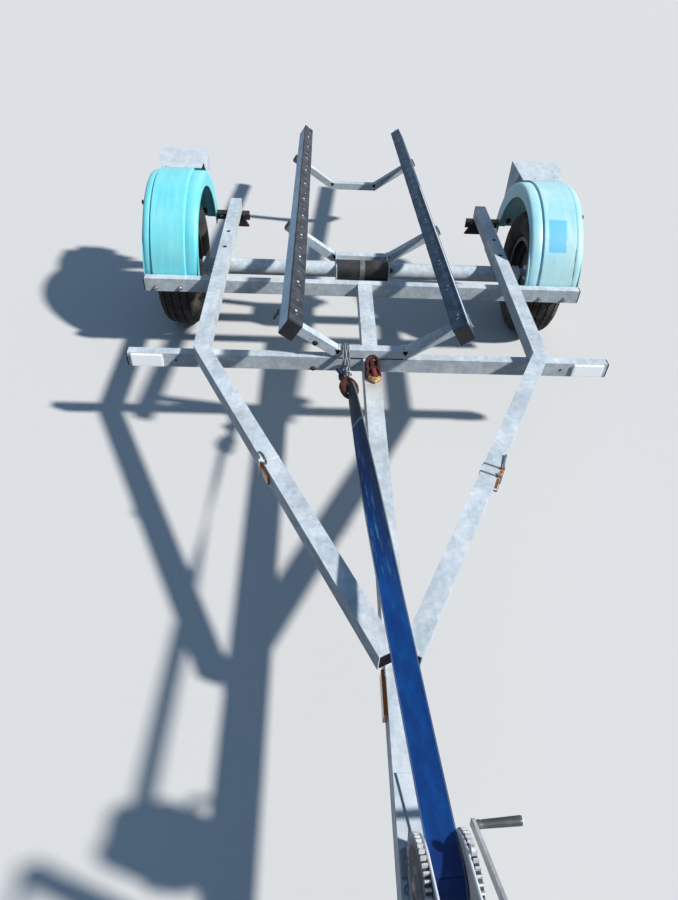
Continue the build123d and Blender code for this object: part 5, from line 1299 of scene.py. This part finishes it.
COATS = {
    "galvanised": ("front_crossbeam", "rear_crossbeam", "axle_tube", "axle_plates", "left_rail", "right_rail",
                   "front_cradle", "middle_cradle", "rear_cradle", "left_swing_arm", "right_swing_arm",
                   "saddle_bracket", "jockey_clamp", "jockey_tube"),
    "drawbar": ("drawbar",),
    "sheet": ("lamp_brackets",),
    "rim": ("left_rim", "right_rim", "jockey_rim"),
    "zinc": ("left_hub", "right_hub", "winch_frame", "winch_drum", "winch_crank", "jockey_handle", "jockey_leg",
             "jockey_fork", "coupling_head", "coupling_handle"),
    "guard": ("left_mudguard",),
    "guard_right": ("right_mudguard",),
    "tyre": ("left_tyre", "right_tyre", "jockey_tyre"),
    # the guard stays are near black: partly their own black bracket, partly painted shade from the guards above them
    "black_rubber": ("saddle_rubber", "guard_stays"),
    "black_plastic": ("tube_plugs", "crank_grip"),
    "dark_steel": ("winch_post",),
    "rust": ("lock_shackle", "strap_hook"),
    "webbing": ("winch_strap",),
    "rope": ("cradle_rope",),
    "red_lens": ("rear_lamps", "triangle_reflectors"),
    "white_lens_painted_glow": ("front_reflectors",),
    "amber_lens": ("amber_reflectors",),
    "board": ("left_bunk",),
    "cover_painted_shade": ("right_bunk",),
}


class TRAILER_OT_coats(bpy.types.Operator):
    """Gives every CAD node its finish"""
    bl_idname = "trailer.coats"
    bl_label = "Finishes"

    def execute(self, context):
        build_groups()
        build_surfaces()
        for material, names in COATS.items():
            for name in names:
                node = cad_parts[name]
                if not node.material_slots:
                    node.data.materials.append(MATERIALS[material])
                for slot in node.material_slots:
                    slot.material = MATERIALS[material]
        return {"FINISHED"}


def camera_axes(pitch, yaw, roll):
    """Right, up and backward directions: forward falls by pitch and turns by yaw, then the picture rolls."""
    p, a, r = (math.radians(v) for v in (pitch, yaw, roll))
    forward = np.array([math.sin(a) * math.cos(p), math.cos(a) * math.cos(p), -math.sin(p)])
    right = np.array([math.cos(a), -math.sin(a), 0])
    up = np.cross(right, forward)
    return right * math.cos(r) + up * math.sin(r), up * math.cos(r) - right * math.sin(r), -forward


def looked_at(n):
    """1 for a ray from the camera, off gloss or through glass, and 0 for one that only carries light."""
    rays = n.add("LightPath").outputs
    return n.math("MAXIMUM", rays["Is Camera Ray"], rays["Is Glossy Ray"], rays["Is Transmission Ray"])


class TRAILER_OT_stage(bpy.types.Operator):
    """Sets the floor, the light and the camera"""
    bl_idname = "trailer.stage"
    bl_label = "Stage"

    def execute(self, context):
        scene = context.scene
        look = scene.trailer_stage
        scene.view_settings.view_transform = "Standard"
        side = np.linspace(-14, 14, 29)
        verts, quads, _ = grid(np.stack([*np.meshgrid(side, side, indexing="ij"), np.zeros((29, 29))], -1))
        mesh = bpy.data.meshes.new("floor")
        mesh.from_pydata(verts.tolist(), [], quads.tolist())
        floor = bpy.data.objects.new("floor", mesh)
        scene.collection.objects.link(floor)
        ground = bpy.data.materials.new("pale floor")
        ground.use_nodes = True
        mesh.materials.append(ground)
        n = Nodes(ground.node_tree)
        shader = n.tree.nodes["Principled BSDF"].inputs
        n.feed(shader["Base Color"], n.mix(looked_at(n), (*look.bounce_colour, 1), (*look.floor_colour, 1)))
        n.feed(shader["Roughness"], 0.9)
        n.feed(shader["Specular IOR Level"], 0.1)
        world = bpy.data.worlds.new("soft sky")
        scene.world = world
        world.use_nodes = True
        n = Nodes(world.node_tree)
        n.tree.nodes.clear()
        sky = n.add("Background", {"Color": (*look.sky_colour, 1), "Strength": look.sky_strength}).outputs[0]
        seen = n.add("Background", {"Color": (0.86, 0.87, 0.88, 1), "Strength": 1.0}).outputs[0]
        n.add("OutputWorld", {0: n.add("MixShader", {0: looked_at(n), 1: sky, 2: seen}).outputs[0]})
        sun = bpy.data.lights.new("key", "SUN")
        sun.energy = look.sun_strength
        sun.angle = math.radians(3)
        sun.color = (1.0, 0.985, 0.96)
        holder = bpy.data.objects.new("key", sun)
        holder.rotation_euler = Vector(look.sun_way).to_track_quat("-Z", "Y").to_euler()
        scene.collection.objects.link(holder)
        data = bpy.data.cameras.new("camera")
        data.sensor_fit = "VERTICAL"
        data.sensor_height = 36
        data.lens = 36 * look.focal_share
        data.clip_end = 100
        camera = bpy.data.objects.new("camera", data)
        turn = Matrix(camera_axes(*look.camera_turn)).transposed().to_4x4()
        camera.matrix_world = Matrix.Translation(look.camera_place) @ turn
        scene.collection.objects.link(camera)
        scene.camera = camera
        return {"FINISHED"}


class TRAILER_PT_panel(bpy.types.Panel):
    """Sizes, stage and steps of the trailer's dressing"""
    bl_label = "Boat Trailer"
    bl_idname = "TRAILER_PT_panel"
    bl_space_type = "VIEW_3D"
    bl_region_type = "UI"
    bl_category = "Boat Trailer"

    def draw(self, context):
        for group_name in ("trailer_sizes", "trailer_stage"):
            values = getattr(context.scene, group_name)
            for key in values.__annotations__:
                self.layout.prop(values, key)
        for step in STEPS:
            self.layout.operator(step.bl_idname)


STEPS = (TRAILER_OT_coats, TRAILER_OT_frame, TRAILER_OT_guards, TRAILER_OT_wheels, TRAILER_OT_saddle, TRAILER_OT_bunks,
         TRAILER_OT_lamps, TRAILER_OT_winch, TRAILER_OT_strap, TRAILER_OT_hook, TRAILER_OT_front, TRAILER_OT_stage)
CLASSES = (TrailerSizes, StageLook, *STEPS, TRAILER_PT_panel)


def register():
    for item in CLASSES:
        bpy.utils.register_class(item)
    bpy.types.Scene.trailer_sizes = PointerProperty(type=TrailerSizes)
    bpy.types.Scene.trailer_stage = PointerProperty(type=StageLook)


def unregister():
    del bpy.types.Scene.trailer_sizes
    del bpy.types.Scene.trailer_stage
    for item in reversed(CLASSES):
        bpy.utils.unregister_class(item)


def main():
    """Registers the add-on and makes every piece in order."""
    register()
    for step in STEPS:
        area, name = step.bl_idname.split(".")
        getattr(getattr(bpy.ops, area), name)()


if __name__ == "__main__":
    main()
